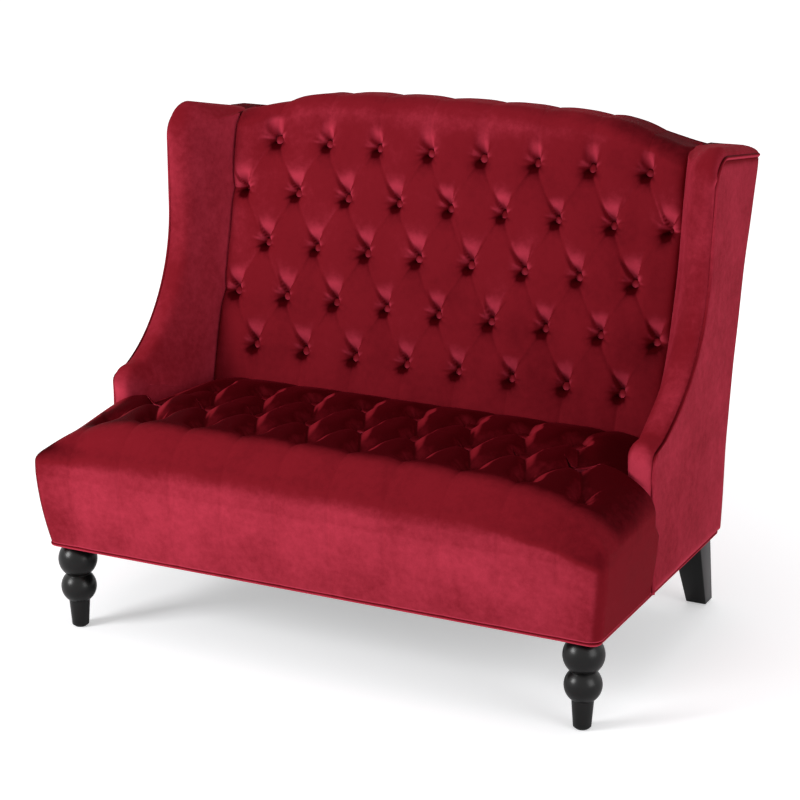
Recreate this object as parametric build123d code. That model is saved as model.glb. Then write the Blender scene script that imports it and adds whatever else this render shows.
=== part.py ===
from build123d import *

import math
import os

# A winged high-back settee in tufted velvet, on four wooden legs.
# Millimetres. +X runs to the right as seen from the front, +Y to the rear, +Z up.
# The origin is on the floor, under the middle of the settee's bounding box.
# "Left" and "right" are as seen from the front. A setback is measured rearwards
# from the front of the seat, and an advance forwards from the rear edge.

# ------------------------------------------------------------------ overall
overall_width = 1206.0
overall_depth = 800.0
leg_height = 180.0
crest_height = 1007.0

# ------------------------------------------------------------------ seat
seat_crown_height = 460.0
seat_edge_height = 372.0
seat_shoulder_height = 452.0
seat_shoulder_setback = 70.0
seat_crown_setback = 190.0
seat_side_shoulder_height = 444.0
seat_side_shoulder_inset = 56.0
seat_side_crown_inset = 184.0
seat_front_flare = 22.0
seat_side_flare = 16.0
seat_skirt_gap = 6.0
seat_skirt_thickness = 18.0
seat_rear_fall = 8.0
seat_button_margin = 90.45
seat_row_spacing = 128.7
seat_first_row_setback = 126.0
seat_row_counts = (10, 9, 8)
seat_button_depth = 27.0
seat_pleat_depth = 18.0
seat_edge_pleat_depth = 11.0
front_pleat_depth = 7.0
front_pleat_half_width = 15.0

# ------------------------------------------------------------------ back
back_rake = 15.1
back_seam_inset = 103.0
back_button_margin = 28.0
back_row_spacing = 108.6
back_row_counts = (8, 9, 8, 9, 8)
back_top_row_drop = 110.0
back_top_row_advance = 112.0
back_pillow_height = 30.0
back_button_depth = 34.0
back_pleat_depth = 18.0
back_edge_pleat_depth = 11.0
edge_pleat_half_width = 22.0
back_foam_depth = 40.0
back_top_padding = 30.0
crest_shoulder_drop = 8.0
crest_shoulder_x = 320.0
crest_sweep_drop = 30.0
crest_sweep_x = 412.0
crest_end_drop = 54.0
crest_end_x = 525.0
crest_round = 24.0

# ------------------------------------------------------------------ wings and arms, (Y, Z) corners
wing_top_drop = 55.0
wing_front_advance = 253.0
wing_corner_round = 30.0
arm_bend_advance = 272.0
arm_bend_height = 570.0
arm_bend_round = 374.0
arm_nose_setback = 258.0
arm_nose_height = 438.0
arm_nose_round = 22.0
arm_knee_height = 385.0
arm_knee_round = 80.0
arm_foot_setback = 280.0
wing_padding = 7.0
wing_front_inset = 71.0
arm_front_inset = 61.0
wing_roll_round = 16.0
side_lean = 0.75
side_bottom_inset = 13.0

# ------------------------------------------------------------------ outside back, (Y, Z) corners
outside_back_thickness = 10.0
outside_back_drop = 12.0
rear_bottom_advance = 107.0
rear_bend_height = 380.0
rear_knee_advance = 53.0
rear_knee_drop = 247.0
rear_top_drop = 72.0
rear_bend_round = 500.0
rear_top_round = 120.0

# ------------------------------------------------------------------ timber frame
rail_height = 100.0
rail_thickness = 25.0
corner_post_width = 50.0
stretcher_width = 25.0
stretcher_height = 70.0
back_post_width = 45.0
back_rail_thickness = 25.0
back_rail_height = 70.0
back_lower_rail_height = 330.0
back_upright_width = 60.0
wing_panel_thickness = 15.0
wing_panel_inset = 26.0

# ------------------------------------------------------------------ suspension and cloths
spring_count = 9
spring_margin = 71.0
spring_wire_width = 3.8
spring_loop_radius = 10.0
spring_loop_pitch = 22.0
spring_half_width = 24.0
spring_straight_end = 30.0
spring_clip_width = 14.0
spring_clip_length = 20.0
deck_cloth_overhang = 12.0
spring_clip_height = 8.4
spring_clip_wall = 0.8
deck_cloth_thickness = 2.0
webbing_width = 50.0
webbing_thickness = 2.0
dust_cover_thickness = 1.5

# ------------------------------------------------------------------ trim
button_diameter = 20.0
button_height = 8.0
button_dome_height = 4.0
tie_diameter = 2.4
tie_hole_diameter = 10.0
dimple_diameter = 52.0
pillow_share = 0.46
welt_diameter = 8.0
welt_inset = 4.5
welt_corner_radius = 14.0
side_welt_diameter = 7.0
side_welt_lift = 1.0

# ------------------------------------------------------------------ legs and hardware
glide_diameter = 24.0
glide_height = 3.0
glide_pin_diameter = 3.0
glide_pin_length = 10.0
front_foot_radius = 17.0
front_ankle_radius = 21.0
lower_ball_radius = 35.5
neck_radius = 24.0
neck_length = 1.3
upper_ball_radius = 39.0
collar_radius = 29.0
collar_height = 8.0
collar_step = 2.0
rear_leg_top_width = 62.0
rear_leg_top_depth = 66.0
rear_foot_width = 43.0
rear_foot_depth = 41.0
rear_foot_kick = 79.0
rear_foot_draw_in = 16.0
bolt_diameter = 8.0
bolt_length_in_leg = 45.0
bolt_length_in_post = 50.0
tee_nut_flange_diameter = 22.0
tee_nut_flange_thickness = 1.5
tee_nut_barrel_diameter = 11.0
tee_nut_length = 14.0
frame_screw_diameter = 6.0
frame_screw_length = 90.0
cross_screw_shares = (0.25, 0.75)
long_screw_shares = (0.4, 0.9)
panel_screw_diameter = 5.0
panel_screw_length = 36.0
panel_screw_edge_distance = 22.0
panel_rail_screw_shares = (0.12, 0.48, 0.84)
panel_post_screw_shares = (0.28, 0.56, 0.84)

# ------------------------------------------------------------------ fits
soft_gap = 0.4

# ------------------------------------------------------------------ places worked out from the sizes
front_y = -overall_depth / 2
rear_y = overall_depth / 2
half_width = overall_width / 2
back_half_width = half_width - back_seam_inset
wing_half_width = half_width - wing_front_inset
arm_half_width = half_width - arm_front_inset
side_bottom_half_width = half_width - side_bottom_inset
back_top_row_height = crest_height - back_top_row_drop
wing_top_height = crest_height - wing_top_drop
rear_knee_height = crest_height - rear_knee_drop
rear_top_height = crest_height - rear_top_drop
back_button_spacing = 2 * (back_half_width - back_button_margin) / (max(back_row_counts) - 1)
seat_button_spacing = 2 * (half_width - seat_button_margin) / (max(seat_row_counts) - 1)
base_front_y = front_y + seat_front_flare
base_half_width = half_width - seat_side_flare
skirt_bottom = leg_height + seat_skirt_gap
rail_bottom = leg_height + dust_cover_thickness
rail_top = rail_bottom + rail_height
rail_front_y = base_front_y + seat_skirt_thickness
rail_rear_y = rear_y - rear_bottom_advance - outside_back_thickness
rail_half_width = base_half_width - seat_skirt_thickness
wing_panel_outer_x = rail_half_width + wing_panel_thickness
deck_bottom = rail_top + spring_clip_height
deck_top = deck_bottom + deck_cloth_thickness
spring_level = deck_bottom - spring_clip_wall - spring_wire_width / 2
back_tie_length = back_foam_depth + back_pillow_height - back_button_depth
seat_tie_length = seat_crown_height - deck_top - seat_button_depth
post_x = rail_half_width - corner_post_width / 2
front_post_y = rail_front_y + corner_post_width / 2
rear_post_y = rail_rear_y - corner_post_width / 2
rail_end_x = rail_half_width - corner_post_width
spring_spacing = 2 * (rail_end_x - spring_margin) / (spring_count - 1)
back_post_inner_x = rail_half_width - back_post_width
post_top = crest_height - crest_end_drop - back_top_padding
seat_first_row_y = front_y + seat_first_row_setback
top_row_y = rear_y - back_top_row_advance
rear_foot = (
    rail_half_width - rear_foot_draw_in - rear_foot_width / 2,
    rail_rear_y + rear_foot_kick - rear_foot_depth / 2,
)
beyond = 1500.0


# ------------------------------------------------------------------ drawing helpers
def direction(start, end):
    """Heading of the line from start to end, in degrees."""
    return math.degrees(math.atan2(end[1] - start[1], end[0] - start[0]))


def beside(point, heading, inset):
    """The point moved by inset to the right of its heading."""
    turn = math.radians(heading)
    return (point[0] + inset * math.sin(turn), point[1] - inset * math.cos(turn))


def arc_knots(start, heading, end):
    """Middle of the arc that leaves start along heading and reaches end, then both headings."""
    chord = direction(start, end)
    swing = math.radians(chord - heading)
    length = math.hypot(end[0] - start[0], end[1] - start[1])
    radius = length / (2 * math.sin(swing))
    centre = beside(start, heading, -radius)
    return beside(centre, chord, radius), chord, 2 * chord - heading


def parallel(points, shift):
    """A run of corners moved by shift to the left of its way, corner by corner."""
    ways = [math.radians(direction(a, b)) for a, b in zip(points, points[1:])]
    moved = []
    for i, (y, z) in enumerate(points):
        before = ways[max(i - 1, 0)]
        after = ways[min(i, len(ways) - 1)]
        reach = shift / math.cos((after - before) / 2)
        middle = (after + before) / 2
        moved.append((y - reach * math.sin(middle), z + reach * math.cos(middle)))
    return moved


def outline(points, rounds):
    """The flat face inside some corners, with chosen corners rounded."""
    face = Face(Wire.make_polygon([(u, v, 0) for u, v in points], close=True))
    for (u, v), radius in rounds:
        face = fillet(face.vertices().sort_by_distance((u, v, 0))[0], radius)
    return face


def side_slab(face, low_x, high_x):
    """A face drawn in (Y, Z), as a slab from low_x to high_x."""
    placed = Plane.YZ.offset(low_x).location * face
    return extrude(placed, high_x - low_x, dir=(1, 0, 0))


def front_slab(face, low_y, high_y):
    """A face drawn in (X, Z), as a slab from low_y to high_y."""
    placed = Location((0, low_y, 0)) * (Plane.XZ.location * face)
    return extrude(placed, high_y - low_y, dir=(0, 1, 0))


def block(low, high):
    """A box between two opposite corners."""
    size = [high[i] - low[i] for i in range(3)]
    middle = tuple((high[i] + low[i]) / 2 for i in range(3))
    return Location(middle) * Box(*size)


def rod(start, axis, diameter, length):
    """A cylinder that starts at a point and runs along an axis."""
    return extrude(Plane(origin=start, z_dir=axis) * Circle(diameter / 2), length)


def other_side(shape):
    """The same piece on the left of the settee."""
    return shape.mirror(Plane.YZ)


def both_sides(shapes):
    """Right-hand pieces and their left-hand twins."""
    return [*shapes, *[other_side(shape) for shape in shapes]]


def whole(shape):
    """The one solid of a cut, without crumbs."""
    return max(shape.solids(), key=lambda solid: solid.volume)


def write(name, *pieces):
    """Writes one node: a solid, or a group of separate ones."""
    found = [solid for piece in pieces for solid in piece.solids()]
    shape = found[0] if len(found) == 1 else Compound(children=found)
    shape.label = name
    export_step(shape, f"parts/{name}.step")


# ------------------------------------------------------------------ the back's own frame
# The buttons of the back lie in one raked plane. In its frame x runs across, y up the
# rake and z out towards the sitter, from the middle of the top row.
rake = math.radians(back_rake)
back_frame = Plane(
    origin=(0, top_row_y, back_top_row_height),
    x_dir=(1, 0, 0),
    z_dir=(0, -math.cos(rake), math.sin(rake)),
).location


def back_y(height, out):
    """Y at a height on the raked plane that lies out in front of the button plane."""
    return top_row_y + (height - back_top_row_height) * math.tan(rake) - out / math.cos(rake)


def raked_slab(half, low, high, back_out, front_out):
    """A slab between two raked planes, from one height to another."""
    face = outline(
        [
            (back_y(low, front_out), low),
            (back_y(high, front_out), high),
            (back_y(high, back_out), high),
            (back_y(low, back_out), low),
        ],
        [],
    )
    return side_slab(face, -half, half)


# ------------------------------------------------------------------ outlines
def seat_front_knots(inset):
    """Corners and arc middles of the seat's front and top in (Y, Z), moved inwards."""
    foot = (base_front_y, skirt_bottom)
    edge = (front_y, seat_edge_height)
    shoulder = (front_y + seat_shoulder_setback, seat_shoulder_height)
    crown = (front_y + seat_crown_setback, seat_crown_height)
    face_middle, down_way, down_end = arc_knots(edge, -90, foot)
    round_middle, round_way, level = arc_knots(edge, 90, shoulder)
    top_middle, top_way, top_end = arc_knots(shoulder, level, crown)
    return [
        beside(foot, down_end + 180, inset),
        beside(face_middle, down_way + 180, inset),
        beside(edge, 90, inset),
        beside(round_middle, round_way, inset),
        beside(shoulder, level, inset),
        beside(top_middle, top_way, inset),
        beside(crown, top_end, inset),
    ]


def seat_long_section():
    """The seat from front to rear in (Y, Z)."""
    knots = seat_front_knots(0)
    rear = (rear_y, seat_crown_height - seat_rear_fall)
    closing = Polyline(knots[6], rear, (rear_y, skirt_bottom), knots[0])
    arcs = [ThreePointArc(*knots[i : i + 3]) for i in (0, 2, 4)]
    return Face(Wire(arcs + list(closing.edges())))


def seat_cross_section():
    """The seat from side to side in (X, Z), with sides drawn in to the base."""
    foot = (base_half_width, skirt_bottom)
    edge = (half_width, seat_edge_height)
    shoulder = (half_width - seat_side_shoulder_inset, seat_side_shoulder_height)
    crown = (half_width - seat_side_crown_inset, seat_crown_height + soft_gap)
    side_middle, _, _ = arc_knots(edge, -90, foot)
    round_middle, _, level = arc_knots(edge, 90, shoulder)
    top_middle, _, _ = arc_knots(shoulder, level, crown)
    right = [
        ThreePointArc(foot, side_middle, edge),
        ThreePointArc(edge, round_middle, shoulder),
        ThreePointArc(shoulder, top_middle, crown),
    ]
    left = [arc.mirror(Plane.YZ) for arc in right]
    flats = [Line(crown, (-crown[0], crown[1])), Line((-foot[0], foot[1]), foot)]
    return Face(Wire(right + left + flats))


def crest(drop):
    """The arched top of the back in (X, Z), lowered by drop, down to the floor."""
    top = crest_height - drop
    shoulder = (crest_shoulder_x, top - crest_shoulder_drop)
    sweep = (crest_sweep_x, top - crest_sweep_drop)
    end = (crest_end_x, top - crest_end_drop)
    _, _, fall = arc_knots((0, top), 0, shoulder)
    bend, _, steep = arc_knots(shoulder, fall, sweep)
    ease, _, _ = arc_knots(sweep, steep, end)
    right = [
        ThreePointArc(shoulder, bend, sweep),
        ThreePointArc(sweep, ease, end),
        Line(end, (half_width, end[1])),
        Line((half_width, end[1]), (half_width, 0)),
    ]
    left = [edge.mirror(Plane.YZ) for edge in right]
    middle = ThreePointArc((-shoulder[0], shoulder[1]), (0, top), shoulder)
    return Face(Wire([middle, *right, *left, Line((-half_width, 0), (half_width, 0))]))


def rear_corners(low, shift):
    """Corners of the settee's rear edge in (Y, Z) from low to the top, moved forwards."""
    corners = [
        (rear_y - rear_bottom_advance, low),
        (rear_y - rear_bottom_advance, rear_bend_height),
        (rear_y - rear_knee_advance, rear_knee_height),
        (rear_y, rear_top_height),
        (rear_y, crest_height),
    ]
    return parallel(corners, shift)


def rear_rounds(corners):
    """The bends of the rear edge, with their radii."""
    return [
        (corners[1], rear_bend_round),
        (corners[2], rear_bend_round),
        (corners[3], rear_top_round),
    ]


def wing_corners(grow):
    """Corners of the wing and arm in (Y, Z), from the arm's foot up and over to the rear."""
    corners = [
        (front_y + arm_foot_setback, skirt_bottom),
        (front_y + arm_nose_setback, arm_knee_height),
        (front_y + arm_nose_setback, arm_nose_height),
        (rear_y - arm_bend_advance, arm_bend_height),
        (rear_y - wing_front_advance, wing_top_height),
        (rear_y, rear_top_height),
    ]
    return parallel(corners, grow)


def wing_face(grow):
    """The wing and arm in (Y, Z), padded out by grow at its top and front."""
    rear = rear_corners(skirt_bottom, 0)
    front = wing_corners(grow)
    rounds = [
        (front[1], arm_knee_round + grow),
        (front[2], arm_nose_round + grow),
        (front[3], arm_bend_round - grow),
        (front[4], wing_corner_round + grow),
    ]
    last = (rear_y, front[5][1])
    return outline([*front[:5], last, *reversed(rear[:3])], rounds + rear_rounds(rear)[:2])


def outside_back():
    """The plain panel that closes the back, from wing panel to wing panel."""
    outer = rear_corners(skirt_bottom, 0)
    inner = rear_corners(skirt_bottom, outside_back_thickness)
    face = outline([*outer, *reversed(inner)], rear_rounds(outer) + rear_rounds(inner))
    slab = side_slab(face, -wing_panel_outer_x, wing_panel_outer_x)
    return whole(slab & front_slab(crest(outside_back_drop), -beyond, beyond))


# ------------------------------------------------------------------ legs, bolts and glides
def ball(radius, middle, low_rim, high_rim):
    """Arc of a turned ball about the Z axis, from its lower rim radius to its upper one."""
    low = -math.degrees(math.acos(low_rim / radius))
    high = math.degrees(math.acos(high_rim / radius))
    return CenterArc((0, middle), radius, low, high - low)


def cap(radius, rim):
    """Height from a ball's middle to where it has narrowed to its rim radius."""
    return math.sqrt(radius**2 - rim**2)


def turned_leg():
    """A front leg, turned: tapered foot, two balls, a neck and a collar, about the Z axis."""
    collar_bottom = leg_height - collar_height
    top_radius = collar_radius - collar_step
    upper_middle = collar_bottom - cap(upper_ball_radius, top_radius)
    neck_top = upper_middle - cap(upper_ball_radius, neck_radius)
    neck_bottom = neck_top - neck_length
    lower_middle = neck_bottom - cap(lower_ball_radius, neck_radius)
    ankle_height = lower_middle - cap(lower_ball_radius, front_ankle_radius)
    edges = [
        Line((0, glide_height), (front_foot_radius, glide_height)),
        Line((front_foot_radius, glide_height), (front_ankle_radius, ankle_height)),
        ball(lower_ball_radius, lower_middle, front_ankle_radius, neck_radius),
        Line((neck_radius, neck_bottom), (neck_radius, neck_top)),
        ball(upper_ball_radius, upper_middle, neck_radius, top_radius),
        Line((top_radius, collar_bottom), (collar_radius, collar_bottom)),
        Line((collar_radius, collar_bottom), (collar_radius, leg_height)),
        Line((collar_radius, leg_height), (0, leg_height)),
        Line((0, leg_height), (0, glide_height)),
    ]
    return revolve(Plane.XZ.location * Face(Wire(edges)), Axis.Z)


def raked_leg():
    """The right rear leg, flush with the frame at its top, tapered and kicked back."""
    top_x = rail_half_width - rear_leg_top_width / 2
    top_y = rail_rear_y - rear_leg_top_depth / 2
    top_size = (rear_leg_top_width, rear_leg_top_depth)
    top = Location((top_x, top_y, leg_height)) * Rectangle(*top_size)
    foot = Location((*rear_foot, glide_height)) * Rectangle(rear_foot_width, rear_foot_depth)
    return loft([foot.face(), top.face()], ruled=True)


def glide(x, y):
    """A nail-in glide under a foot."""
    disc = rod((x, y, 0), (0, 0, 1), glide_diameter, glide_height)
    return disc + rod((x, y, 0), (0, 0, 1), glide_pin_diameter, glide_height + glide_pin_length)


def leg_bolt(x, y):
    """A hanger bolt from a leg up into the frame."""
    length = bolt_length_in_leg + bolt_length_in_post
    return rod((x, y, leg_height - bolt_length_in_leg), (0, 0, 1), bolt_diameter, length)


def tee_nut(x, y):
    """The tee nut that a leg's bolt turns in, under a corner post."""
    flange = rod((x, y, rail_bottom), (0, 0, 1), tee_nut_flange_diameter, tee_nut_flange_thickness)
    return flange + rod((x, y, rail_bottom), (0, 0, 1), tee_nut_barrel_diameter, tee_nut_length)


corners = [(post_x, front_post_y), (post_x, rear_post_y), (-post_x, front_post_y), (-post_x, rear_post_y)]
bolts = [leg_bolt(x, y) for x, y in corners]
tee_nuts = [tee_nut(x, y) - bolt for (x, y), bolt in zip(corners, bolts)]
glides = [
    glide(post_x, front_post_y),
    glide(*rear_foot),
    glide(-post_x, front_post_y),
    glide(-rear_foot[0], rear_foot[1]),
]
front_leg = Location((post_x, front_post_y, 0)) * turned_leg() - bolts[0] - glides[0]
rear_leg = raked_leg() - bolts[1] - glides[1]


# ------------------------------------------------------------------ timber frame
def corner_post(y):
    """A square post at a right-hand corner of the base."""
    half = corner_post_width / 2
    return block((post_x - half, y - half, rail_bottom), (post_x + half, y + half, rail_top))


def rail_screws():
    """Long screws that hold the rails to the corner posts."""
    screws = []
    for rail_y in (rail_front_y + rail_thickness / 2, rail_rear_y - rail_thickness / 2):
        for share in cross_screw_shares:
            start = (rail_half_width, rail_y, rail_bottom + share * rail_height)
            screws.append(rod(start, (-1, 0, 0), frame_screw_diameter, frame_screw_length))
    for end_y, way in ((rail_front_y, 1), (rail_rear_y, -1)):
        for share in long_screw_shares:
            start = (rail_half_width - rail_thickness / 2, end_y, rail_bottom + share * rail_height)
            screws.append(rod(start, (0, way, 0), frame_screw_diameter, frame_screw_length))
    return both_sides(screws)


def panel_screws():
    """Screws through the wing panels into the side rails and the back posts."""
    screws = []
    foot_y = front_y + arm_foot_setback + wing_panel_inset
    run = rail_rear_y - corner_post_width - foot_y
    rise = post_top - rail_top
    places = [(foot_y + share * run, rail_bottom + rail_height / 2) for share in panel_rail_screw_shares]
    post_line = -back_foam_depth - webbing_thickness - panel_screw_edge_distance
    heights = [rail_top + share * rise for share in panel_post_screw_shares]
    places += [(back_y(height, post_line), height) for height in heights]
    for y, z in places:
        start = (wing_panel_outer_x, y, z)
        screws.append(rod(start, (-1, 0, 0), panel_screw_diameter, panel_screw_length))
    return both_sides(screws)


def padded_zone():
    """All that lies behind the back's foam and under its top padding."""
    slab = raked_slab(beyond, 0, 2 * crest_height, -beyond, -back_foam_depth)
    return slab & front_slab(crest(back_top_padding), -beyond, beyond)


def back_post():
    """The right-hand upright of the back, on the rear corner post."""
    front = -back_foam_depth - webbing_thickness
    slab = raked_slab(rail_half_width, rail_top, post_top, -beyond, front)
    rear = rear_corners(rail_top, outside_back_thickness)
    face = outline([(front_y, rail_top), *rear, (front_y, crest_height)], rear_rounds(rear))
    return whole(slab & side_slab(face, back_post_inner_x, rail_half_width))


def back_top_rail():
    """The arched rail between the back posts."""
    front = -back_foam_depth - webbing_thickness
    rear = front - back_rail_thickness
    slab = raked_slab(back_post_inner_x, back_lower_rail_height, crest_height, rear, front)
    arch = crest(back_top_padding) - crest(back_top_padding + back_rail_height)
    return whole(slab & front_slab(arch, -beyond, beyond))


def back_lower_rail():
    """The rail across the foot of the back."""
    front = -back_foam_depth - webbing_thickness
    top = back_lower_rail_height + back_rail_height
    return raked_slab(back_post_inner_x, back_lower_rail_height, top, front - back_rail_thickness, front)


def back_upright():
    """The middle upright between the two rails of the back."""
    front = -back_foam_depth - webbing_thickness
    low = back_lower_rail_height + back_rail_height
    slab = raked_slab(back_upright_width / 2, low, crest_height, front - back_rail_thickness, front)
    return whole(slab & front_slab(crest(back_top_padding + back_rail_height), -beyond, beyond))


def wing_panel():
    """The right-hand plywood panel that carries wing and arm."""
    rear = rear_corners(skirt_bottom, outside_back_thickness)
    front = wing_corners(-wing_panel_inset)
    top_rear = (rear[3][0], front[5][1])
    rounds = [(front[3], arm_bend_round + wing_panel_inset), *rear_rounds(rear)[:2]]
    face = outline([*front[:5], top_rear, *reversed(rear[:3])], rounds)
    return side_slab(face, rail_half_width, wing_panel_outer_x)


screws = rail_screws()
small_screws = panel_screws()
front_rail = block(
    (-rail_end_x, rail_front_y, rail_bottom), (rail_end_x, rail_front_y + rail_thickness, rail_top)
)
rear_rail = block(
    (-rail_end_x, rail_rear_y - rail_thickness, rail_bottom), (rail_end_x, rail_rear_y, rail_top)
)
side_rail = block(
    (rail_half_width - rail_thickness, rail_front_y + corner_post_width, rail_bottom),
    (rail_half_width, rail_rear_y - corner_post_width, rail_top),
)
front_rail = front_rail - screws
rear_rail = rear_rail - screws
side_rail = side_rail - screws - small_screws
stretcher = block(
    (-stretcher_width / 2, rail_front_y + rail_thickness, rail_bottom),
    (stretcher_width / 2, rail_rear_y - rail_thickness, rail_bottom + stretcher_height),
)
front_post = corner_post(front_post_y) - bolts[0] - tee_nuts[0] - screws
rear_post = corner_post(rear_post_y) - bolts[1] - tee_nuts[1] - screws
post = back_post() - small_screws
outer_back = outside_back()
panel = whole(wing_panel() - small_screws - outer_back)


# ------------------------------------------------------------------ springs, cloths and straps
def spring():
    """One sinuous spring, of square wire, from the front rail to the rear rail."""
    start_y = rail_front_y + rail_thickness / 2
    end_y = rail_rear_y - rail_thickness / 2
    span = end_y - start_y - 2 * spring_straight_end
    turns = int(span / spring_loop_pitch)
    lead = (end_y - start_y - turns * spring_loop_pitch) / 2
    points = [(0, start_y)]
    side = 1
    for turn in range(turns + 1):
        y = start_y + lead + turn * spring_loop_pitch
        near = 0 if turn == 0 else -side * spring_half_width
        far = 0 if turn == turns else side * spring_half_width
        points += [(near, y), (far, y)]
        side = -side
    points.append((0, end_y))
    path = FilletPolyline(*[(x, y, spring_level) for x, y in points], radius=spring_loop_radius)
    start = Plane(origin=(0, start_y, spring_level), z_dir=(0, 1, 0))
    return sweep(start * Rectangle(spring_wire_width, spring_wire_width), path=path)


def spring_clip(x, y):
    """A clip that holds a spring's end on a rail."""
    half = spring_clip_length / 2
    body = block(
        (x - spring_clip_width / 2, y - half, rail_top), (x + spring_clip_width / 2, y + half, deck_bottom)
    )
    wire = spring_wire_width / 2
    low = (x - wire, y - half, spring_level - wire)
    return body - block(low, (x + wire, y + half, spring_level + wire))


def webbing():
    """Straps across the back posts, one behind each row of buttons."""
    straps = []
    for row in range(len(back_row_counts)):
        strap = Box(2 * post_x, webbing_width, webbing_thickness)
        height = -row * back_row_spacing
        level = -back_foam_depth - webbing_thickness / 2
        straps.append(back_frame * (Location((0, height, level)) * strap))
    return straps


spring_xs = [(i - (spring_count - 1) / 2) * spring_spacing for i in range(spring_count)]
first_spring = spring()
springs = [Location((x, 0, 0)) * first_spring for x in spring_xs]
clips = [
    spring_clip(x, y)
    for x in spring_xs
    for y in (rail_front_y + rail_thickness / 2, rail_rear_y - rail_thickness / 2)
]
deck_cloth = block(
    (-rail_end_x + deck_cloth_overhang, rail_front_y, deck_bottom),
    (rail_end_x - deck_cloth_overhang, rail_rear_y, deck_top),
)
dust_cover = block(
    (-rail_half_width, rail_front_y, leg_height), (rail_half_width, rail_rear_y, rail_bottom)
) - bolts


# ------------------------------------------------------------------ tufting
def button_rows(counts, spacing, row_step, first):
    """Rows of button centres, set half a space apart from row to row."""
    rows = []
    for row, count in enumerate(counts):
        y = first + row * row_step
        rows.append([((i - (count - 1) / 2) * spacing, y) for i in range(count)])
    return rows


def neighbour(rows, row, x):
    """The button of a row at x, if there is one."""
    if not 0 <= row < len(rows):
        return None
    near = [button for button in rows[row] if abs(button[0] - x) < 1]
    return near[0] if near else None


def diagonals(rows, spacing, side):
    """Straight pleats that lead from row to row towards one side, each as (start, end)."""
    runs = []
    step = side * spacing / 2
    for row, buttons in enumerate(rows):
        for button in buttons:
            if neighbour(rows, row - 1, button[0] - step):
                continue
            end = button
            below = row + 1
            while neighbour(rows, below, end[0] + step):
                end = neighbour(rows, below, end[0] + step)
                below += 1
            if end != button:
                runs.append((button, end))
    return runs


def pleat(start, end, half, depth):
    """Tool that presses a straight pleat between two rounded pillows, crown at z = 0."""
    way = Vector(end[0] - start[0], end[1] - start[1], 0)
    plane = Plane(origin=(*start, 0), x_dir=Vector(0, 0, 1).cross(way), z_dir=way)
    left, _, _ = arc_knots((-half, soft_gap), 0, (0, -depth))
    rim = Polyline((half, soft_gap), (half, depth), (-half, depth), (-half, soft_gap))
    section = [
        ThreePointArc((-half, soft_gap), left, (0, -depth)),
        ThreePointArc((0, -depth), (-left[0], left[1]), (half, soft_gap)),
        *rim.edges(),
    ]
    return extrude(plane.location * Face(Wire(section)), way.length, dir=way)


def dimple(x, y, depth):
    """Tool for the hollow that a button is drawn into, crown at z = 0."""
    height = depth + soft_gap
    hollow = Cone(button_diameter / 2 + soft_gap, dimple_diameter / 2, height)
    return Location((x, y, height / 2 - depth)) * hollow


def button(x, y, depth):
    """A fabric-covered button at the bottom of its hollow, crown at z = 0."""
    radius = button_diameter / 2
    wall = button_height - button_dome_height
    dome, _, _ = arc_knots((0, button_height), 0, (radius, wall))
    edges = [
        Line((0, 0), (radius, 0)),
        Line((radius, 0), (radius, wall)),
        ThreePointArc((radius, wall), dome, (0, button_height)),
        Line((0, button_height), (0, 0)),
    ]
    solid = revolve(Plane.XZ.location * Face(Wire(edges)), Axis.Z)
    return Location((x, y, -depth)) * solid


def tufted(pad, place, rows, pillow, depth, button_depth, tie_length):
    """A pad with diamond pleats, a hollow for each button and a hole for its twine."""
    spacing, row_step = pillow
    half = pillow_share * spacing * row_step / math.hypot(spacing / 2, row_step)
    for side in (-1, 1):
        pad = pad - [place * pleat(*run, half, depth) for run in diagonals(rows, spacing, side)]
    centres = [centre for row in rows for centre in row]
    pad = pad - [place * dimple(x, y, button_depth) for x, y in centres]
    low = -button_depth - tie_length
    return pad - [place * rod((x, y, low), (0, 0, 1), tie_hole_diameter, tie_length) for x, y in centres]


def buttons_and_ties(place, rows, button_depth, tie_length):
    """The buttons of a pad, and the twine from each to what it is tied to."""
    centres = [centre for row in rows for centre in row]
    caps = [place * button(x, y, button_depth) for x, y in centres]
    low = -button_depth - tie_length
    twine = [place * rod((x, y, low), (0, 0, 1), tie_diameter, tie_length) for x, y in centres]
    return caps, twine


# ------------------------------------------------------------------ outer cover panels
def lean_zone():
    """All that lies inside the leaning outer faces of the sides."""
    top = side_bottom_half_width + (crest_height - leg_height) * math.tan(math.radians(side_lean))
    face = outline(
        [
            (side_bottom_half_width, 0),
            (side_bottom_half_width, leg_height),
            (top, crest_height),
            (0, crest_height),
            (0, 0),
        ],
        [],
    )
    return front_slab(face, -beyond, beyond)


def side_welt():
    """The right-hand piping, up the arm and over the wing."""
    radius = side_welt_diameter / 2
    lean = math.radians(side_lean)
    plane = Plane(
        origin=(side_bottom_half_width, 0, 0), x_dir=(0, 1, 0), z_dir=(math.cos(lean), 0, -math.sin(lean))
    )
    path = FilletPolyline(
        *[(y, (z - leg_height) / math.cos(lean), side_welt_lift - radius) for y, z in wing_corners(radius)],
        radius=[
            arm_knee_round + radius,
            arm_nose_round + radius,
            arm_bend_round - radius,
            wing_corner_round + radius,
        ],
    )
    path = Location((0, 0, leg_height)) * (plane.location * path)
    start = Plane(origin=path @ 0, z_dir=path % 0)
    piping = sweep(start * Circle(radius), path=path)
    return whole(piping & block((0, front_y, leg_height), (half_width, rear_y, crest_height)))


def base_welt():
    """The piping round the foot of the covers."""
    width = 2 * (base_half_width - welt_inset)
    low_y = base_front_y + welt_inset
    high_y = rear_y - rear_bottom_advance - welt_inset
    middle = (low_y + high_y) / 2
    radius = welt_diameter / 2
    path = Location((0, middle, skirt_bottom - radius)) * RectangleRounded(
        width, high_y - low_y, welt_corner_radius
    )
    wire = path.face().outer_wire()
    start = Plane(origin=wire @ 0, z_dir=wire % 0)
    return sweep(start * Circle(radius), path=wire)


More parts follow.
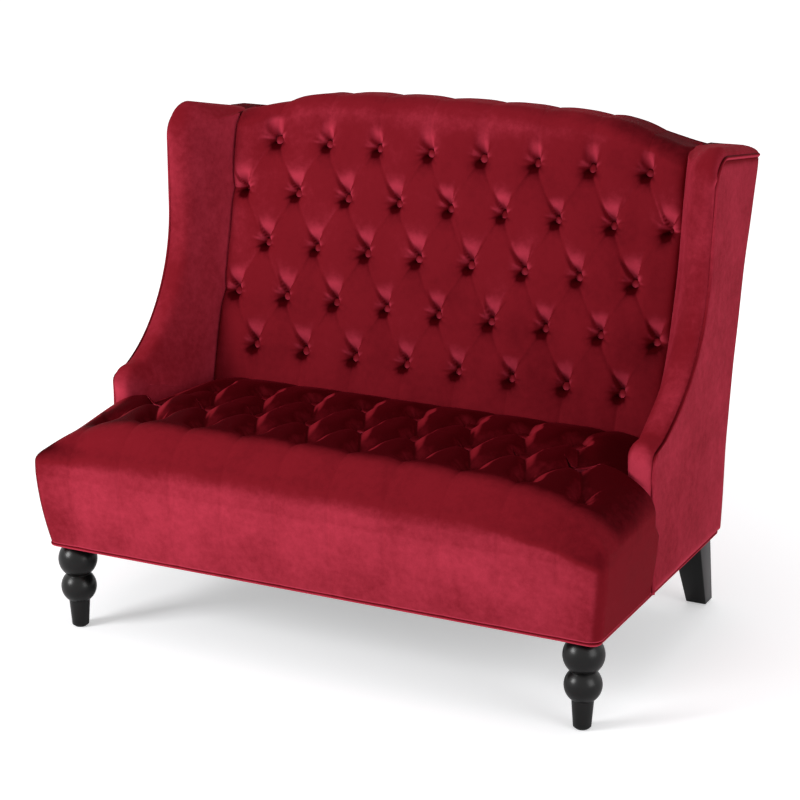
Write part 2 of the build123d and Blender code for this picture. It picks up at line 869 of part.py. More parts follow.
# ------------------------------------------------------------------ soft pads
def wing_block():
    """All that wing and arm take up on the right, outwards from their inner face."""
    outer = half_width + wing_padding
    seam = back_half_width
    arm_y = front_y + arm_nose_setback - wing_padding
    wing_y = rear_y - wing_front_advance - wing_padding
    sections = [
        (skirt_bottom, arm_half_width, arm_y),
        (arm_nose_height, arm_half_width, arm_y),
        (crest_height, wing_half_width, wing_y),
    ]
    faces = []
    for height, front_x, y in sections:
        seam_y = back_y(height, back_pillow_height)
        corners = [(front_x, y), (seam, seam_y), (seam, rear_y), (outer, rear_y), (outer, y)]
        faces.append(Location((0, 0, height)) * outline(corners, []))
    return loft(faces, ruled=True) & side_slab(wing_face(wing_padding), seam, outer)


def wing_pad():
    """The right-hand wing and arm pad, wrapped round the front edge of its panel."""
    low = (0, front_y, skirt_bottom)
    pad = wing_block() & block(low, (wing_panel_outer_x, rear_y, crest_height))
    inner_edges = [
        edge
        for edge in pad.edges().filter_by(GeomType.BSPLINE)
        if back_half_width + 1 < edge.center().X < wing_panel_outer_x - 1
    ]
    pad = fillet(inner_edges, wing_roll_round)
    return whole(pad - block(low, (rail_half_width, rear_y, deck_top)))


def back_blank():
    """The back pad before it is tufted: raked front, arched top, rolled over the top rail."""
    slab = raked_slab(back_half_width, deck_top, 2 * crest_height, -beyond, back_pillow_height)
    pad = slab & front_slab(crest(0), -beyond, beyond)
    top_edges = [
        edge
        for edge in pad.edges()
        if edge.center().Z > crest_height - crest_end_drop - crest_round
        and edge.center().Y < back_y(edge.center().Z, 0)
        and abs(edge.center().X) < back_half_width - 1
    ]
    return fillet(top_edges, crest_round)


def seat_blank():
    """The seat before it is tufted and fitted between the arms."""
    long_way = side_slab(seat_long_section(), -half_width, half_width)
    return long_way & front_slab(seat_cross_section(), -beyond, beyond)


def front_pleat(x):
    """Tool for a straight pleat from a front-row button over the edge and down the front."""
    wires = []
    for side in (-1, 0, 1):
        knots = seat_front_knots(front_pleat_depth if side == 0 else -soft_gap)
        above = seat_crown_height + front_pleat_depth
        before = front_y - front_pleat_depth
        below = skirt_bottom - front_pleat_depth
        rim = Polyline(
            knots[6], (knots[6][0], above), (before, above), (before, below), (knots[0][0], below), knots[0]
        )
        arcs = [ThreePointArc(*knots[i : i + 3]) for i in (0, 2, 4)]
        plane = Plane.YZ.offset(x + side * front_pleat_half_width)
        wires.append(plane.location * Wire(arcs + list(rim.edges())))
    tool = Solid.make_loft(wires, ruled=True)
    low = (x - front_pleat_half_width, front_y - front_pleat_depth, leg_height - front_pleat_depth)
    high = (x + front_pleat_half_width, seat_first_row_y, seat_crown_height + front_pleat_depth)
    return tool & block(low, high)


def edge_pleats(starts, reach, depth):
    """Tools for the straight pleats that run from outer buttons to an edge, crown at z = 0."""
    runs = [(start, (start[0] + reach[0], start[1] + reach[1])) for start in starts]
    return [pleat(start, end, edge_pleat_half_width, depth) for start, end in runs]


def back_pad(rows, outer_back):
    """The tufted back pad."""
    rear = rear_corners(skirt_bottom, 0)
    inside = outline([(front_y, skirt_bottom), *rear, (front_y, crest_height)], rear_rounds(rear))
    pad = back_blank() - padded_zone()
    pad = (pad & side_slab(inside, -back_half_width, back_half_width)) - outer_back
    ends = [end for row in rows if len(row) == max(back_row_counts) for end in (row[0], row[-1])]
    long_reach = crest_height - leg_height
    side_reach = back_half_width - ends[-1][0]
    tools = edge_pleats(rows[0], (0, long_reach), back_edge_pleat_depth)
    tools += edge_pleats(rows[-1], (0, -long_reach), back_edge_pleat_depth)
    for end in ends:
        way = side_reach if end[0] > 0 else -side_reach
        tools += edge_pleats([end], (way, 0), back_edge_pleat_depth)
    pad = pad - [back_crown * tool for tool in tools]
    pillow = (back_button_spacing, back_row_spacing)
    pad = tufted(pad, back_crown, rows, pillow, back_pleat_depth, back_button_depth, back_tie_length)
    return whole(pad)


def seat_pad(rows, arm):
    """The tufted seat, T-shaped round the arms, with its pleated front."""
    pad = seat_blank() - raked_slab(half_width, 0, crest_height, -beyond, back_pillow_height)
    pad = pad - both_sides([arm])
    pad = pad - block((-rail_half_width, rail_front_y, 0), (rail_half_width, rear_y, deck_top))
    pad = whole(pad)
    rear_pleats = edge_pleats(rows[-1], (0, overall_depth), seat_edge_pleat_depth)
    pad = pad - [seat_crown * tool for tool in rear_pleats]
    pad = pad - [front_pleat(x) for x, _ in rows[0]]
    pillow = (seat_button_spacing, seat_row_spacing)
    pad = tufted(pad, seat_crown, rows, pillow, seat_pleat_depth, seat_button_depth, seat_tie_length)
    return whole(pad)


back_crown = back_frame * Location((0, 0, back_pillow_height))
seat_crown = Location((0, 0, seat_crown_height))
back_rows = button_rows(back_row_counts, back_button_spacing, -back_row_spacing, 0)
seat_rows = button_rows(seat_row_counts, seat_button_spacing, seat_row_spacing, seat_first_row_y)
outer_side = side_slab(wing_face(0), wing_panel_outer_x, half_width) & lean_zone()
right_wing = whole(wing_pad() - padded_zone() - outer_back - panel)
back_cushion = back_pad(back_rows, outer_back)
seat_cushion = seat_pad(seat_rows, wing_block())
back_buttons, back_ties = buttons_and_ties(back_crown, back_rows, back_button_depth, back_tie_length)
seat_buttons, seat_ties = buttons_and_ties(seat_crown, seat_rows, seat_button_depth, seat_tie_length)
right_welt = side_welt()


# ------------------------------------------------------------------ the nodes
os.makedirs("parts", exist_ok=True)
pairs = {
    "side_rail": side_rail,
    "front_corner_post": front_post,
    "rear_corner_post": rear_post,
    "back_post": post,
    "wing_panel": panel,
    "wing_pad": right_wing,
    "outside_side_cover": outer_side,
    "side_welt": right_welt,
    "front_leg": front_leg,
    "rear_leg": rear_leg,
}
for name, piece in pairs.items():
    write(f"{name}_right", piece)
    write(f"{name}_left", other_side(piece))

write("front_rail", front_rail)
write("rear_rail", rear_rail)
write("seat_stretcher", stretcher)
write("back_top_rail", back_top_rail())
write("back_lower_rail", back_lower_rail())
write("back_upright", back_upright())
write("seat_springs", *springs)
write("spring_clips", *clips)
write("deck_cloth", deck_cloth)
write("back_webbing", *webbing())
write("dust_cover", dust_cover)
write("seat_cushion", seat_cushion)
write("back_cushion", back_cushion)
write("seat_buttons", *seat_buttons)
write("back_buttons", *back_buttons)
write("seat_button_twine", *seat_ties)
write("back_button_twine", *back_ties)
write("outside_back_cover", outer_back)
write("base_welt", base_welt())
write("leg_bolts", *bolts)
write("tee_nuts", *tee_nuts)
write("foot_glides", *glides)
write("frame_screws", *screws)
write("panel_screws", *small_screws)
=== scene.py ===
"""A winged high-back settee in deep-buttoned crimson velvet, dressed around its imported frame."""

import logging
import math
from dataclasses import dataclass, field
from enum import Enum
from typing import Callable

import bmesh
import bpy
import numpy as np
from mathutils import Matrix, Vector

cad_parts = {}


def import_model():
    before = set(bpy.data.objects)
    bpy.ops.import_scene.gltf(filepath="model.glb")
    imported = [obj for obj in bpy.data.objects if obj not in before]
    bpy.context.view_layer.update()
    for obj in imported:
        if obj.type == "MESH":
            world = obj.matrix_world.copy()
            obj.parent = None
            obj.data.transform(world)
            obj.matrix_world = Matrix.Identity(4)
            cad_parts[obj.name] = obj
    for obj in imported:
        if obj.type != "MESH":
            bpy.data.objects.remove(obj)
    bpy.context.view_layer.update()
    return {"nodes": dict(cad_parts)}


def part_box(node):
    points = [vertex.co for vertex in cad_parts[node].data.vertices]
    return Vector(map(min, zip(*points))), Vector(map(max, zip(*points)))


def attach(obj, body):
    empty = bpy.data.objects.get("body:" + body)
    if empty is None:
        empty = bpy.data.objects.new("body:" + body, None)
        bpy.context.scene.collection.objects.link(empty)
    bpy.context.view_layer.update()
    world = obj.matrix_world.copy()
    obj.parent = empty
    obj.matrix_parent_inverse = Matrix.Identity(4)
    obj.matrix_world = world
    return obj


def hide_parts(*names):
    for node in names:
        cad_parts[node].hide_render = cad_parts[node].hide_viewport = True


LOG = logging.getLogger("settee")

MM = 0.001
BODY = "root"
EDGE_CREASE = 0.45
WELD = 1e-5  # metres; vertices nearer than this are one
TINY = 1e-6

Colour = tuple[float, float, float, float]
Place = tuple[float, float]
Number = np.ndarray | float
Surface = Callable[[np.ndarray, np.ndarray], np.ndarray]
SocketValue = float | tuple[float, ...] | bpy.types.NodeSocket


class Side(Enum):
    """A side of the settee, as seen from the front."""

    LEFT = -1
    RIGHT = 1

    @property
    def word(self) -> str:
        """The side's name, as the frame's nodes spell it."""
        return self.name.lower()


class Slot(Enum):
    """The material slots that the pieces made here take their finish from."""

    VELVET = "velvet"
    TWINE = "twine"
    LACQUER = "black_lacquer"


# ---------------------------------------------------------------- shaping helpers


def ramp(value: float, low: float, high: float) -> float:
    """Rises evenly from 0 at low to 1 at high."""
    return min(1.0, max(0.0, (value - low) / (high - low)))


def smooth_step(value: Number, low: Number, high: Number) -> Number:
    """Eases from 0 at low to 1 at high.

    Args:
        value: Where to look.
        low: Where the ease starts.
        high: Where it ends.

    Returns:
        The eased share, of the shape of value.
    """
    share = np.clip((value - low) / (high - low), 0.0, 1.0)
    return share * share * (3.0 - 2.0 * share)


def soft_min(first: Number, second: Number, reach: float) -> Number:
    """The lower of two heights, with the corner between them rounded.

    Args:
        first: One height.
        second: The other height.
        reach: Size of the rounding.

    Returns:
        The blended height.
    """
    share = np.clip(0.5 + 0.5 * (second - first) / reach, 0.0, 1.0)
    return second * (1 - share) + first * share - reach * share * (1 - share)


def run_lengths(points: np.ndarray) -> np.ndarray:
    """Length of a run of points up to each of them, from 0."""
    return np.concatenate([[0], np.cumsum(np.linalg.norm(np.diff(points, axis=0), axis=1))])


def along(points: np.ndarray, share: np.ndarray) -> np.ndarray:
    """Places along a run of points.

    Args:
        points: The run, one row a point.
        share: Where on it, from 0 to 1 of its length.

    Returns:
        The places, with a last axis of coordinates.
    """
    lengths = run_lengths(points)
    at = np.clip(share, 0, 1) * lengths[-1]
    return np.stack([np.interp(at, lengths, axis) for axis in points.T], axis=-1)


def corner_arc(before: np.ndarray, corner: np.ndarray, after: np.ndarray, radius: float, step: float) -> list:
    """The arc that rounds a corner between two straight lines.

    Args:
        before: A place on the line that leads to the corner.
        corner: The corner.
        after: A place on the line that leads away from it.
        radius: The arc's radius.
        step: About how far apart its points are.

    Returns:
        The arc's points in order.
    """
    back = (before - corner) / np.linalg.norm(before - corner)
    ahead = (after - corner) / np.linalg.norm(after - corner)
    half = math.acos(float(np.clip(back @ ahead, -1, 1))) / 2
    centre = corner + (back + ahead) / np.linalg.norm(back + ahead) * radius / math.sin(half)
    start = corner + back * radius / math.tan(half)
    end = corner + ahead * radius / math.tan(half)
    first = math.atan2(*(start - centre)[::-1])
    turn = math.atan2(*(end - centre)[::-1]) - first
    turn = (turn + math.pi) % (2 * math.pi) - math.pi
    angles = first + turn * np.linspace(0, 1, max(3, int(abs(turn) * radius / step) + 2))
    return [centre + radius * np.array([math.cos(angle), math.sin(angle)]) for angle in angles]


def rounded_path(corners: list[Place], radii: list[float], step: float) -> np.ndarray:
    """A run of straight lines with an arc at each inner corner, as evenly spaced points.

    Args:
        corners: The corners of the run.
        radii: The radius at each inner corner.
        step: Distance between neighbouring points.

    Returns:
        The points, one row each.
    """
    sharp = [np.array(corner, float) for corner in corners]
    places = [sharp[0]]
    for before, corner, after, radius in zip(sharp, sharp[1:], sharp[2:], radii):
        places += corner_arc(before, corner, after, radius, step)
    places.append(sharp[-1])
    points = np.array(places)
    return along(points, np.linspace(0, 1, max(2, int(run_lengths(points)[-1] / step) + 1)))


def left_normals(path: np.ndarray) -> np.ndarray:
    """Unit normals of a flat run of points, to the left of its way.

    Args:
        path: The points, one row each.

    Returns:
        The normal at each point.
    """
    way = np.gradient(path, axis=0)
    way /= np.linalg.norm(way, axis=1, keepdims=True)
    return np.stack([-way[:, 1], way[:, 0]], axis=1)


def wander(first: np.ndarray, second: np.ndarray, size: float, seed: int) -> np.ndarray:
    """Slow unevenness of hand-stuffed work, about -1 to 1.

    Args:
        first: One coordinate.
        second: The other coordinate.
        size: Typical distance from a rise to the next.
        seed: Which unevenness.

    Returns:
        The unevenness at each place.
    """
    waves, usual_swing, spread = 7, 4.0, (0.6, 1.7)
    draw = np.random.default_rng(seed)
    total = np.zeros_like(first, dtype=float)
    for _ in range(waves):
        heading = draw.uniform(0, 2 * math.pi)
        pitch = 2 * math.pi / (size * draw.uniform(*spread))
        phase = draw.uniform(0, 2 * math.pi)
        total += np.sin(pitch * (first * math.cos(heading) + second * math.sin(heading)) + phase)
    return total / usual_swing


@dataclass(frozen=True)
class Unevenness:
    """Slow unevenness of hand-stuffed work, with its greatest height and the distance between rises."""

    height: float
    size: float
    seed: int

    def at(self, first: np.ndarray, second: np.ndarray, later: int = 0) -> np.ndarray:
        """The unevenness at places, or another like it."""
        return self.height * wander(first, second, self.size, self.seed + later)


@dataclass(frozen=True)
class Zone:
    """An eased change from nothing at one place to its full amount at another."""

    start: float
    end: float
    amount: float = 1.0

    def at(self, value: Number) -> Number:
        """The change at a place."""
        return self.amount * smooth_step(value, self.start, self.end)


def grid_mesh(columns: int, rows: int, shape: Surface) -> bmesh.types.BMesh:
    """A grid laid over a surface.

    Args:
        columns: Cells across.
        rows: Cells along.
        shape: Gives the places, in millimetres, for shares across and along, each a
            (rows + 1, columns + 1) array.

    Returns:
        The grid, in metres.
    """
    bm = bmesh.new()
    bmesh.ops.create_grid(bm, x_segments=columns, y_segments=rows, size=0.5)
    across, up = np.meshgrid(np.linspace(0, 1, columns + 1), np.linspace(0, 1, rows + 1))
    places = shape(across, up) * MM
    for vert in bm.verts:
        column = round((vert.co.x + 0.5) * columns)
        row = round((vert.co.y + 0.5) * rows)
        vert.co = places[row, column]
    return bm


def pressed(base: np.ndarray, depth: np.ndarray) -> np.ndarray:
    """A grid of places moved inwards along its own normals.

    Args:
        base: The places, (rows, columns, 3).
        depth: How far each moves.

    Returns:
        The moved places.
    """
    normal = np.cross(np.gradient(base, axis=1), np.gradient(base, axis=0))
    length = np.linalg.norm(normal, axis=-1, keepdims=True)
    return base - normal / np.maximum(length, 1e-9) * depth[..., None]


def made_verts(made: dict) -> list[bmesh.types.BMVert]:
    """The vertices among what an operator made."""
    return [item for item in made["geom"] if isinstance(item, bmesh.types.BMVert)]


def rim_edges(bm: bmesh.types.BMesh) -> list[bmesh.types.BMEdge]:
    """The open edges of a mesh."""
    return [edge for edge in bm.edges if edge.is_boundary]


def wall_round(bm: bmesh.types.BMesh, move: Callable[[Vector], Vector]) -> None:
    """Draws the open rim of a sheet out into a wall.

    Args:
        bm: The sheet.
        move: Where a rim corner goes for the wall's far edge.
    """
    made = bmesh.ops.extrude_edge_only(bm, edges=rim_edges(bm))
    for vert in made_verts(made):
        vert.co = move(vert.co.copy())


def close_behind(bm: bmesh.types.BMesh, move: Callable[[Vector], Vector]) -> None:
    """Gives an open sheet a wall round its rim and a back, so that it is closed.

    Args:
        bm: The sheet.
        move: Where a rim corner goes for the back.
    """
    wall_round(bm, move)
    bmesh.ops.edgeloop_fill(bm, edges=rim_edges(bm))


def thicken(bm: bmesh.types.BMesh, move: Vector) -> None:
    """Gives an open sheet a copy behind it and walls between the two.

    Args:
        bm: The sheet.
        move: How far the copy lies from it, in metres.
    """
    made = bmesh.ops.extrude_face_region(bm, geom=bm.faces[:])
    bmesh.ops.translate(bm, vec=move, verts=made_verts(made))


def turned_form(outline: list[Place], steps: int) -> bmesh.types.BMesh:
    """A form turned on the upright axis.

    Args:
        outline: Radius and height of each corner of its outline, in millimetres.
        steps: How many faces go round it.

    Returns:
        The form, in metres.
    """
    bm = bmesh.new()
    verts = [bm.verts.new((radius * MM, 0, height * MM)) for radius, height in outline]
    edges = [bm.edges.new(pair) for pair in zip(verts, verts[1:])]
    bmesh.ops.spin(
        bm, geom=verts + edges, cent=(0, 0, 0), axis=(0, 0, 1), angle=2 * math.pi, steps=steps, use_merge=True
    )
    bmesh.ops.remove_doubles(bm, verts=bm.verts, dist=TINY)
    return bm


def mirrored(bm: bmesh.types.BMesh, side: Side) -> bmesh.types.BMesh:
    """Turns a right-hand mesh into the asked side's.

    Args:
        bm: The mesh, drawn for the right.
        side: The side that it is wanted for.

    Returns:
        The same mesh.
    """
    if side is Side.LEFT:
        bmesh.ops.scale(bm, vec=(-1, 1, 1), verts=bm.verts)
        bmesh.ops.reverse_faces(bm, faces=bm.faces)
    return bm


# ---------------------------------------------------------------- pieces


def new_piece(name: str, bm: bmesh.types.BMesh, material: bpy.types.Material) -> bpy.types.Object:
    """Turns a finished bmesh into a piece of the settee.

    Args:
        name: The piece's name.
        bm: Its mesh, which is freed.
        material: Its finish.

    Returns:
        The object, linked to the scene.
    """
    bmesh.ops.remove_doubles(bm, verts=bm.verts, dist=WELD)
    bmesh.ops.recalc_face_normals(bm, faces=bm.faces)
    mesh = bpy.data.meshes.new(name)
    bm.to_mesh(mesh)
    bm.free()
    mesh.materials.append(material)
    mesh.polygons.foreach_set("use_smooth", [True] * len(mesh.polygons))
    obj = bpy.data.objects.new(name, mesh)
    bpy.context.scene.collection.objects.link(obj)
    return obj


def lay_nap_and_shade(obj: bpy.types.Object, nap_and_shade: Surface) -> None:
    """Records on a velvet piece how much painted shade its colour takes at each vertex, more being darker.

    Args:
        obj: The piece.
        nap_and_shade: Gives the painted shade for places in millimetres and normals, each an (n, 3) array.
    """
    mesh = obj.data
    count = len(mesh.vertices)
    places = np.empty(count * 3, dtype=np.float32)
    normals = np.empty(count * 3, dtype=np.float32)
    mesh.vertices.foreach_get("co", places)
    mesh.vertex_normals.foreach_get("vector", normals)
    values = nap_and_shade(places.reshape(-1, 3).astype(float) / MM, normals.reshape(-1, 3).astype(float))
    layer = mesh.attributes.new("nap_and_shade", "FLOAT", "POINT")
    layer.data.foreach_set("value", values.astype(np.float32))


def piping(
    name: str, points: np.ndarray, radius: float, closed: bool, material: bpy.types.Material
) -> bpy.types.Object:
    """Fabric piping along a run of points.

    Args:
        name: The piece's name.
        points: Its centreline in millimetres.
        radius: Its radius in millimetres.
        closed: Whether it joins itself.
        material: Its finish.

    Returns:
        The piping as a mesh object.
    """
    curve = bpy.data.curves.new(name + "_line", "CURVE")
    curve.dimensions = "3D"
    spline = curve.splines.new("POLY")
    spline.points.add(len(points) - 1)
    for place, point in zip(points, spline.points):
        point.co = (*(place * MM), 1)
    spline.use_cyclic_u = closed
    curve.bevel_depth = radius * MM
    curve.bevel_resolution = 3
    curve.use_fill_caps = True
    holder = bpy.data.objects.new(name + "_line", curve)
    bpy.context.scene.collection.objects.link(holder)
    mesh = bpy.data.meshes.new_from_object(holder.evaluated_get(bpy.context.evaluated_depsgraph_get()))
    bpy.data.objects.remove(holder)
    bm = bmesh.new()
    bm.from_mesh(mesh)
    bpy.data.meshes.remove(mesh)
    return new_piece(name, bm, material)


def dress(obj: bpy.types.Object, node: str) -> None:
    """Makes a piece ride on the settee and stand for a frame node.

    Args:
        obj: The piece.
        node: The frame's node that it stands for.
    """
    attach(obj, BODY)
    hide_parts(node)
    LOG.info("made %s, %d faces", obj.name, len(obj.data.polygons))


# ---------------------------------------------------------------- shader nodes


def add_node(
    tree: bpy.types.NodeTree, kind: str, inputs: dict[str | int, SocketValue], **settings: str
) -> bpy.types.Node:
    """Adds a shader node.

    Args:
        tree: Where it goes.
        kind: Its type.
        inputs: A value or a socket to link for each input that isn't left alone.
        **settings: Its properties, which are set before its inputs are looked up.

    Returns:
        The node.
    """
    node = tree.nodes.new(kind)
    for name, value in settings.items():
        setattr(node, name, value)
    for key, value in inputs.items():
        if isinstance(value, bpy.types.NodeSocket):
            tree.links.new(value, node.inputs[key])
        else:
            node.inputs[key].default_value = value
    return node


def noise(
    tree: bpy.types.NodeTree, place: bpy.types.NodeSocket, scale: SocketValue, detail: float, roughness: float
) -> bpy.types.NodeSocket:
    """Adds noise, fixed to the piece.

    Args:
        tree: Where it goes.
        place: The coordinates that it reads.
        scale: How fine it is.
        detail: How many finer layers it has.
        roughness: How strong those layers are.

    Returns:
        Its value, from 0 to 1.
    """
    values = {"Vector": place, "Scale": scale, "Detail": detail, "Roughness": roughness}
    return add_node(tree, "ShaderNodeTexNoise", values).outputs["Fac"]


def sum_up(
    tree: bpy.types.NodeTree, operation: str, first: SocketValue, second: SocketValue
) -> bpy.types.NodeSocket:
    """Adds a sum of two values.

    Args:
        tree: Where it goes.
        operation: What is done to them.
        first: The first value.
        second: The second value.

    Returns:
        The result.
    """
    return add_node(tree, "ShaderNodeMath", {0: first, 1: second}, operation=operation).outputs[0]


def ranged(
    tree: bpy.types.NodeTree,
    value: bpy.types.NodeSocket,
    to: tuple[SocketValue, SocketValue],
    start: Place = (0.0, 1.0),
    way: str = "LINEAR",
) -> bpy.types.NodeSocket:
    """Carries a value from one range to another, and holds it there.

    Args:
        tree: Where the node goes.
        value: The value.
        to: The range that it is carried to.
        start: The range that it comes from.
        way: How it is eased.

    Returns:
        The carried value.
    """
    values = {"Value": value, "From Min": start[0], "From Max": start[1], "To Min": to[0], "To Max": to[1]}
    return add_node(tree, "ShaderNodeMapRange", values, interpolation_type=way).outputs["Result"]


def mixed(
    tree: bpy.types.NodeTree, share: bpy.types.NodeSocket, first: SocketValue, second: SocketValue
) -> bpy.types.NodeSocket:
    """Mixes two colours.

    Args:
        tree: Where the node goes.
        share: The second colour's share.
        first: The first colour.
        second: The second colour.

    Returns:
        The mixed colour.
    """
    values = {"Factor": share, "A": first, "B": second}
    return add_node(tree, "ShaderNodeMix", values, data_type="RGBA").outputs["Result"]


def new_group(name: str, inputs: dict[str, str]) -> tuple[bpy.types.NodeTree, bpy.types.Node]:
    """Starts a shader node group whose outputs are Color, Roughness and Height.

    Args:
        name: The group's name.
        inputs: The type of each input: Color, Float or Vector.

    Returns:
        The group and the node that holds its inputs.
    """
    tree = bpy.data.node_groups.new(name, "ShaderNodeTree")
    for socket, kind in inputs.items():
        tree.interface.new_socket(name=socket, in_out="INPUT", socket_type="NodeSocket" + kind)
    for socket, kind in {"Color": "Color", "Roughness": "Float", "Height": "Float"}.items():
        tree.interface.new_socket(name=socket, in_out="OUTPUT", socket_type="NodeSocket" + kind)
    return tree, tree.nodes.new("NodeGroupInput")


def finish_material(
    name: str,
    group: bpy.types.NodeTree,
    values: dict[str, SocketValue],
    bump: Place,
    shader_values: dict[str, SocketValue],
) -> bpy.types.Material:
    """Makes a material whose colour, roughness and fine surface come from a group.

    Args:
        name: The material's name.
        group: The group.
        values: What the group's inputs are set to.
        bump: Strength and height, in metres, of the fine surface.
        shader_values: What the shader's own inputs are set to.

    Returns:
        The material.
    """
    material = bpy.data.materials.new(name)
    material.use_nodes = True
    tree = material.node_tree
    shader = tree.nodes["Principled BSDF"]
    source = tree.nodes.new("ShaderNodeGroup")
    source.node_tree = group
    for socket, value in values.items():
        source.inputs[socket].default_value = value
    tree.links.new(source.outputs["Color"], shader.inputs["Base Color"])
    tree.links.new(source.outputs["Roughness"], shader.inputs["Roughness"])
    relief = {"Strength": bump[0], "Distance": bump[1], "Height": source.outputs["Height"]}
    tree.links.new(add_node(tree, "ShaderNodeBump", relief).outputs["Normal"], shader.inputs["Normal"])
    for socket, value in shader_values.items():
        shader.inputs[socket].default_value = value
    return material


# ---------------------------------------------------------------- finishes


def colour(red: float, green: float, blue: float) -> Colour:
    """A colour given as it looks on a screen, in the renderer's own linear scale.

    Args:
        red: Its red, from 0 to 255.
        green: Its green.
        blue: Its blue.

    Returns:
        The colour, opaque.
    """
    parts = [value / 255 for value in (red, green, blue)]
    line = [part / 12.92 if part <= 0.04045 else ((part + 0.055) / 1.055) ** 2.4 for part in parts]
    return (*line, 1.0)


@dataclass(frozen=True)
class CutPile:
    """The shader group of cut pile: painted shade and painted highlight by which way a surface faces, with
    brushed patches, tufts and fibre.

    Surfaces that face down are painted the lit colour, a painted highlight, and surfaces that face up the
    deep colour, painted shade.
    """

    patch_scale: float = 9.0
    tuft_scale: float = 70.0
    fibre_scale: float = 900.0
    ruffle: Place = (-0.16, 0.16)
    shaded_to_body: Place = (0.93, 0.35)
    body_to_lit: Place = (0.33, -0.42)
    grain: Place = (0.86, 1.14)
    roughness: Place = (0.62, 0.8)

    def build(self) -> bpy.types.NodeTree:
        """Makes the group.

        Returns:
            The group, with inputs Deep, a painted-shade colour, Body, Lit, a painted-highlight colour,
            Brushing and Nap, the piece's painted shade.
        """
        kinds = {"Deep": "Color", "Body": "Color", "Lit": "Color", "Brushing": "Float", "Nap_and_shade": "Float"}
        tree, asked = new_group("cut_pile_and_shade", kinds)
        source = tree.nodes.new("ShaderNodeTexCoord")
        place = source.outputs["Object"]
        patches = noise(tree, place, self.patch_scale, 5.0, 0.6)
        tufts = noise(tree, place, self.tuft_scale, 4.0, 0.7)
        fibre = noise(tree, place, self.fibre_scale, 2.0, 0.5)
        # Painted shade and highlight: the colour runs from Deep where a surface faces up, through Body, to
        # Lit where it faces down. lean is the facing less random brushed patches; the piece's painted shade
        # and random tufts then move it further.
        facing = add_node(tree, "ShaderNodeSeparateXYZ", {0: source.outputs["Normal"]}).outputs["Z"]
        brushed = sum_up(tree, "MULTIPLY", sum_up(tree, "SUBTRACT", patches, 0.5), asked.outputs["Brushing"])
        lean = sum_up(tree, "SUBTRACT", facing, brushed)
        shade_amount = sum_up(tree, "ADD", lean, asked.outputs["Nap_and_shade"])
        ruffled = sum_up(tree, "ADD", shade_amount, ranged(tree, tufts, self.ruffle))
        full = ranged(tree, ruffled, (0.0, 1.0), self.shaded_to_body)
        bright = ranged(tree, ruffled, (0.0, 1.0), self.body_to_lit, "SMOOTHSTEP")
        shade = mixed(tree, full, asked.outputs["Deep"], asked.outputs["Body"])
        shade = mixed(tree, bright, shade, asked.outputs["Lit"])
        scaled = {0: shade, "Scale": ranged(tree, fibre, self.grain)}
        tint = add_node(tree, "ShaderNodeVectorMath", scaled, operation="SCALE").outputs[0]
        rough = ranged(tree, patches, self.roughness)
        add_node(tree, "NodeGroupOutput", {"Color": tint, "Roughness": rough, "Height": fibre})
        return tree


@dataclass(frozen=True)
class Mottle:
    """The shader group of uneven colour and a fine surface, stretched along one way if asked."""

    detail: float = 6.0

    def build(self) -> bpy.types.NodeTree:
        """Makes the group.

        Returns:
            The group, with inputs Dark, Light, Stretch, Scale, Smooth and Rough.
        """
        kinds = {"Dark": "Color", "Light": "Color", "Stretch": "Vector", "Scale": "Float"}
        tree, asked = new_group("mottle", kinds | {"Smooth": "Float", "Rough": "Float"})
        source = tree.nodes.new("ShaderNodeTexCoord")
        values = {0: source.outputs["Object"], 1: asked.outputs["Stretch"]}
        place = add_node(tree, "ShaderNodeVectorMath", values, operation="MULTIPLY").outputs[0]
        uneven = noise(tree, place, asked.outputs["Scale"], self.detail, 0.5)
        shade = mixed(tree, uneven, asked.outputs["Dark"], asked.outputs["Light"])
        rough = ranged(tree, uneven, (asked.outputs["Smooth"], asked.outputs["Rough"]))
        add_node(tree, "NodeGroupOutput", {"Color": shade, "Roughness": rough, "Height": uneven})
        return tree


@dataclass(frozen=True)
class Velvet:
    """Cut velvet whose pile is brushed down and forwards, its colour painted darker or brighter by which way
    each surface faces: painted shade and painted highlight.
    """

    name: str = "crimson_velvet"
    # deep is a painted-shade copy of body and lit a painted-highlight copy of it.
    deep: Colour = colour(56, 0, 4)
    body: Colour = colour(116, 20, 30)
    lit: Colour = colour(192, 58, 78)
    brushing: float = 0.4
    sheen: float = 0.035
    sheen_roughness: float = 0.3
    sheen_tint: Colour = colour(255, 60, 84)
    specular: float = 0.015
    fibre: Place = (0.5, 0.0006)

    def build(self, group: bpy.types.NodeTree) -> bpy.types.Material:
        """Makes the material.

        Args:
            group: The cut pile group.

        Returns:
            The material.
        """
        values = {"Deep": self.deep, "Body": self.body, "Lit": self.lit, "Brushing": self.brushing}
        own = {
            "Specular IOR Level": self.specular,
            "Sheen Weight": self.sheen,
            "Sheen Roughness": self.sheen_roughness,
            "Sheen Tint": self.sheen_tint,
        }
        material = finish_material(self.name, group, values, self.fibre, own)
        tree = material.node_tree
        pile = next(node for node in tree.nodes if node.type == "GROUP")
        # The piece's attribute holds its painted shade, with random brushed patches on the back.
        nap_and_shade = add_node(tree, "ShaderNodeAttribute", {}, attribute_name="nap_and_shade")
        tree.links.new(nap_and_shade.outputs["Fac"], pile.inputs["Nap_and_shade"])
        return material


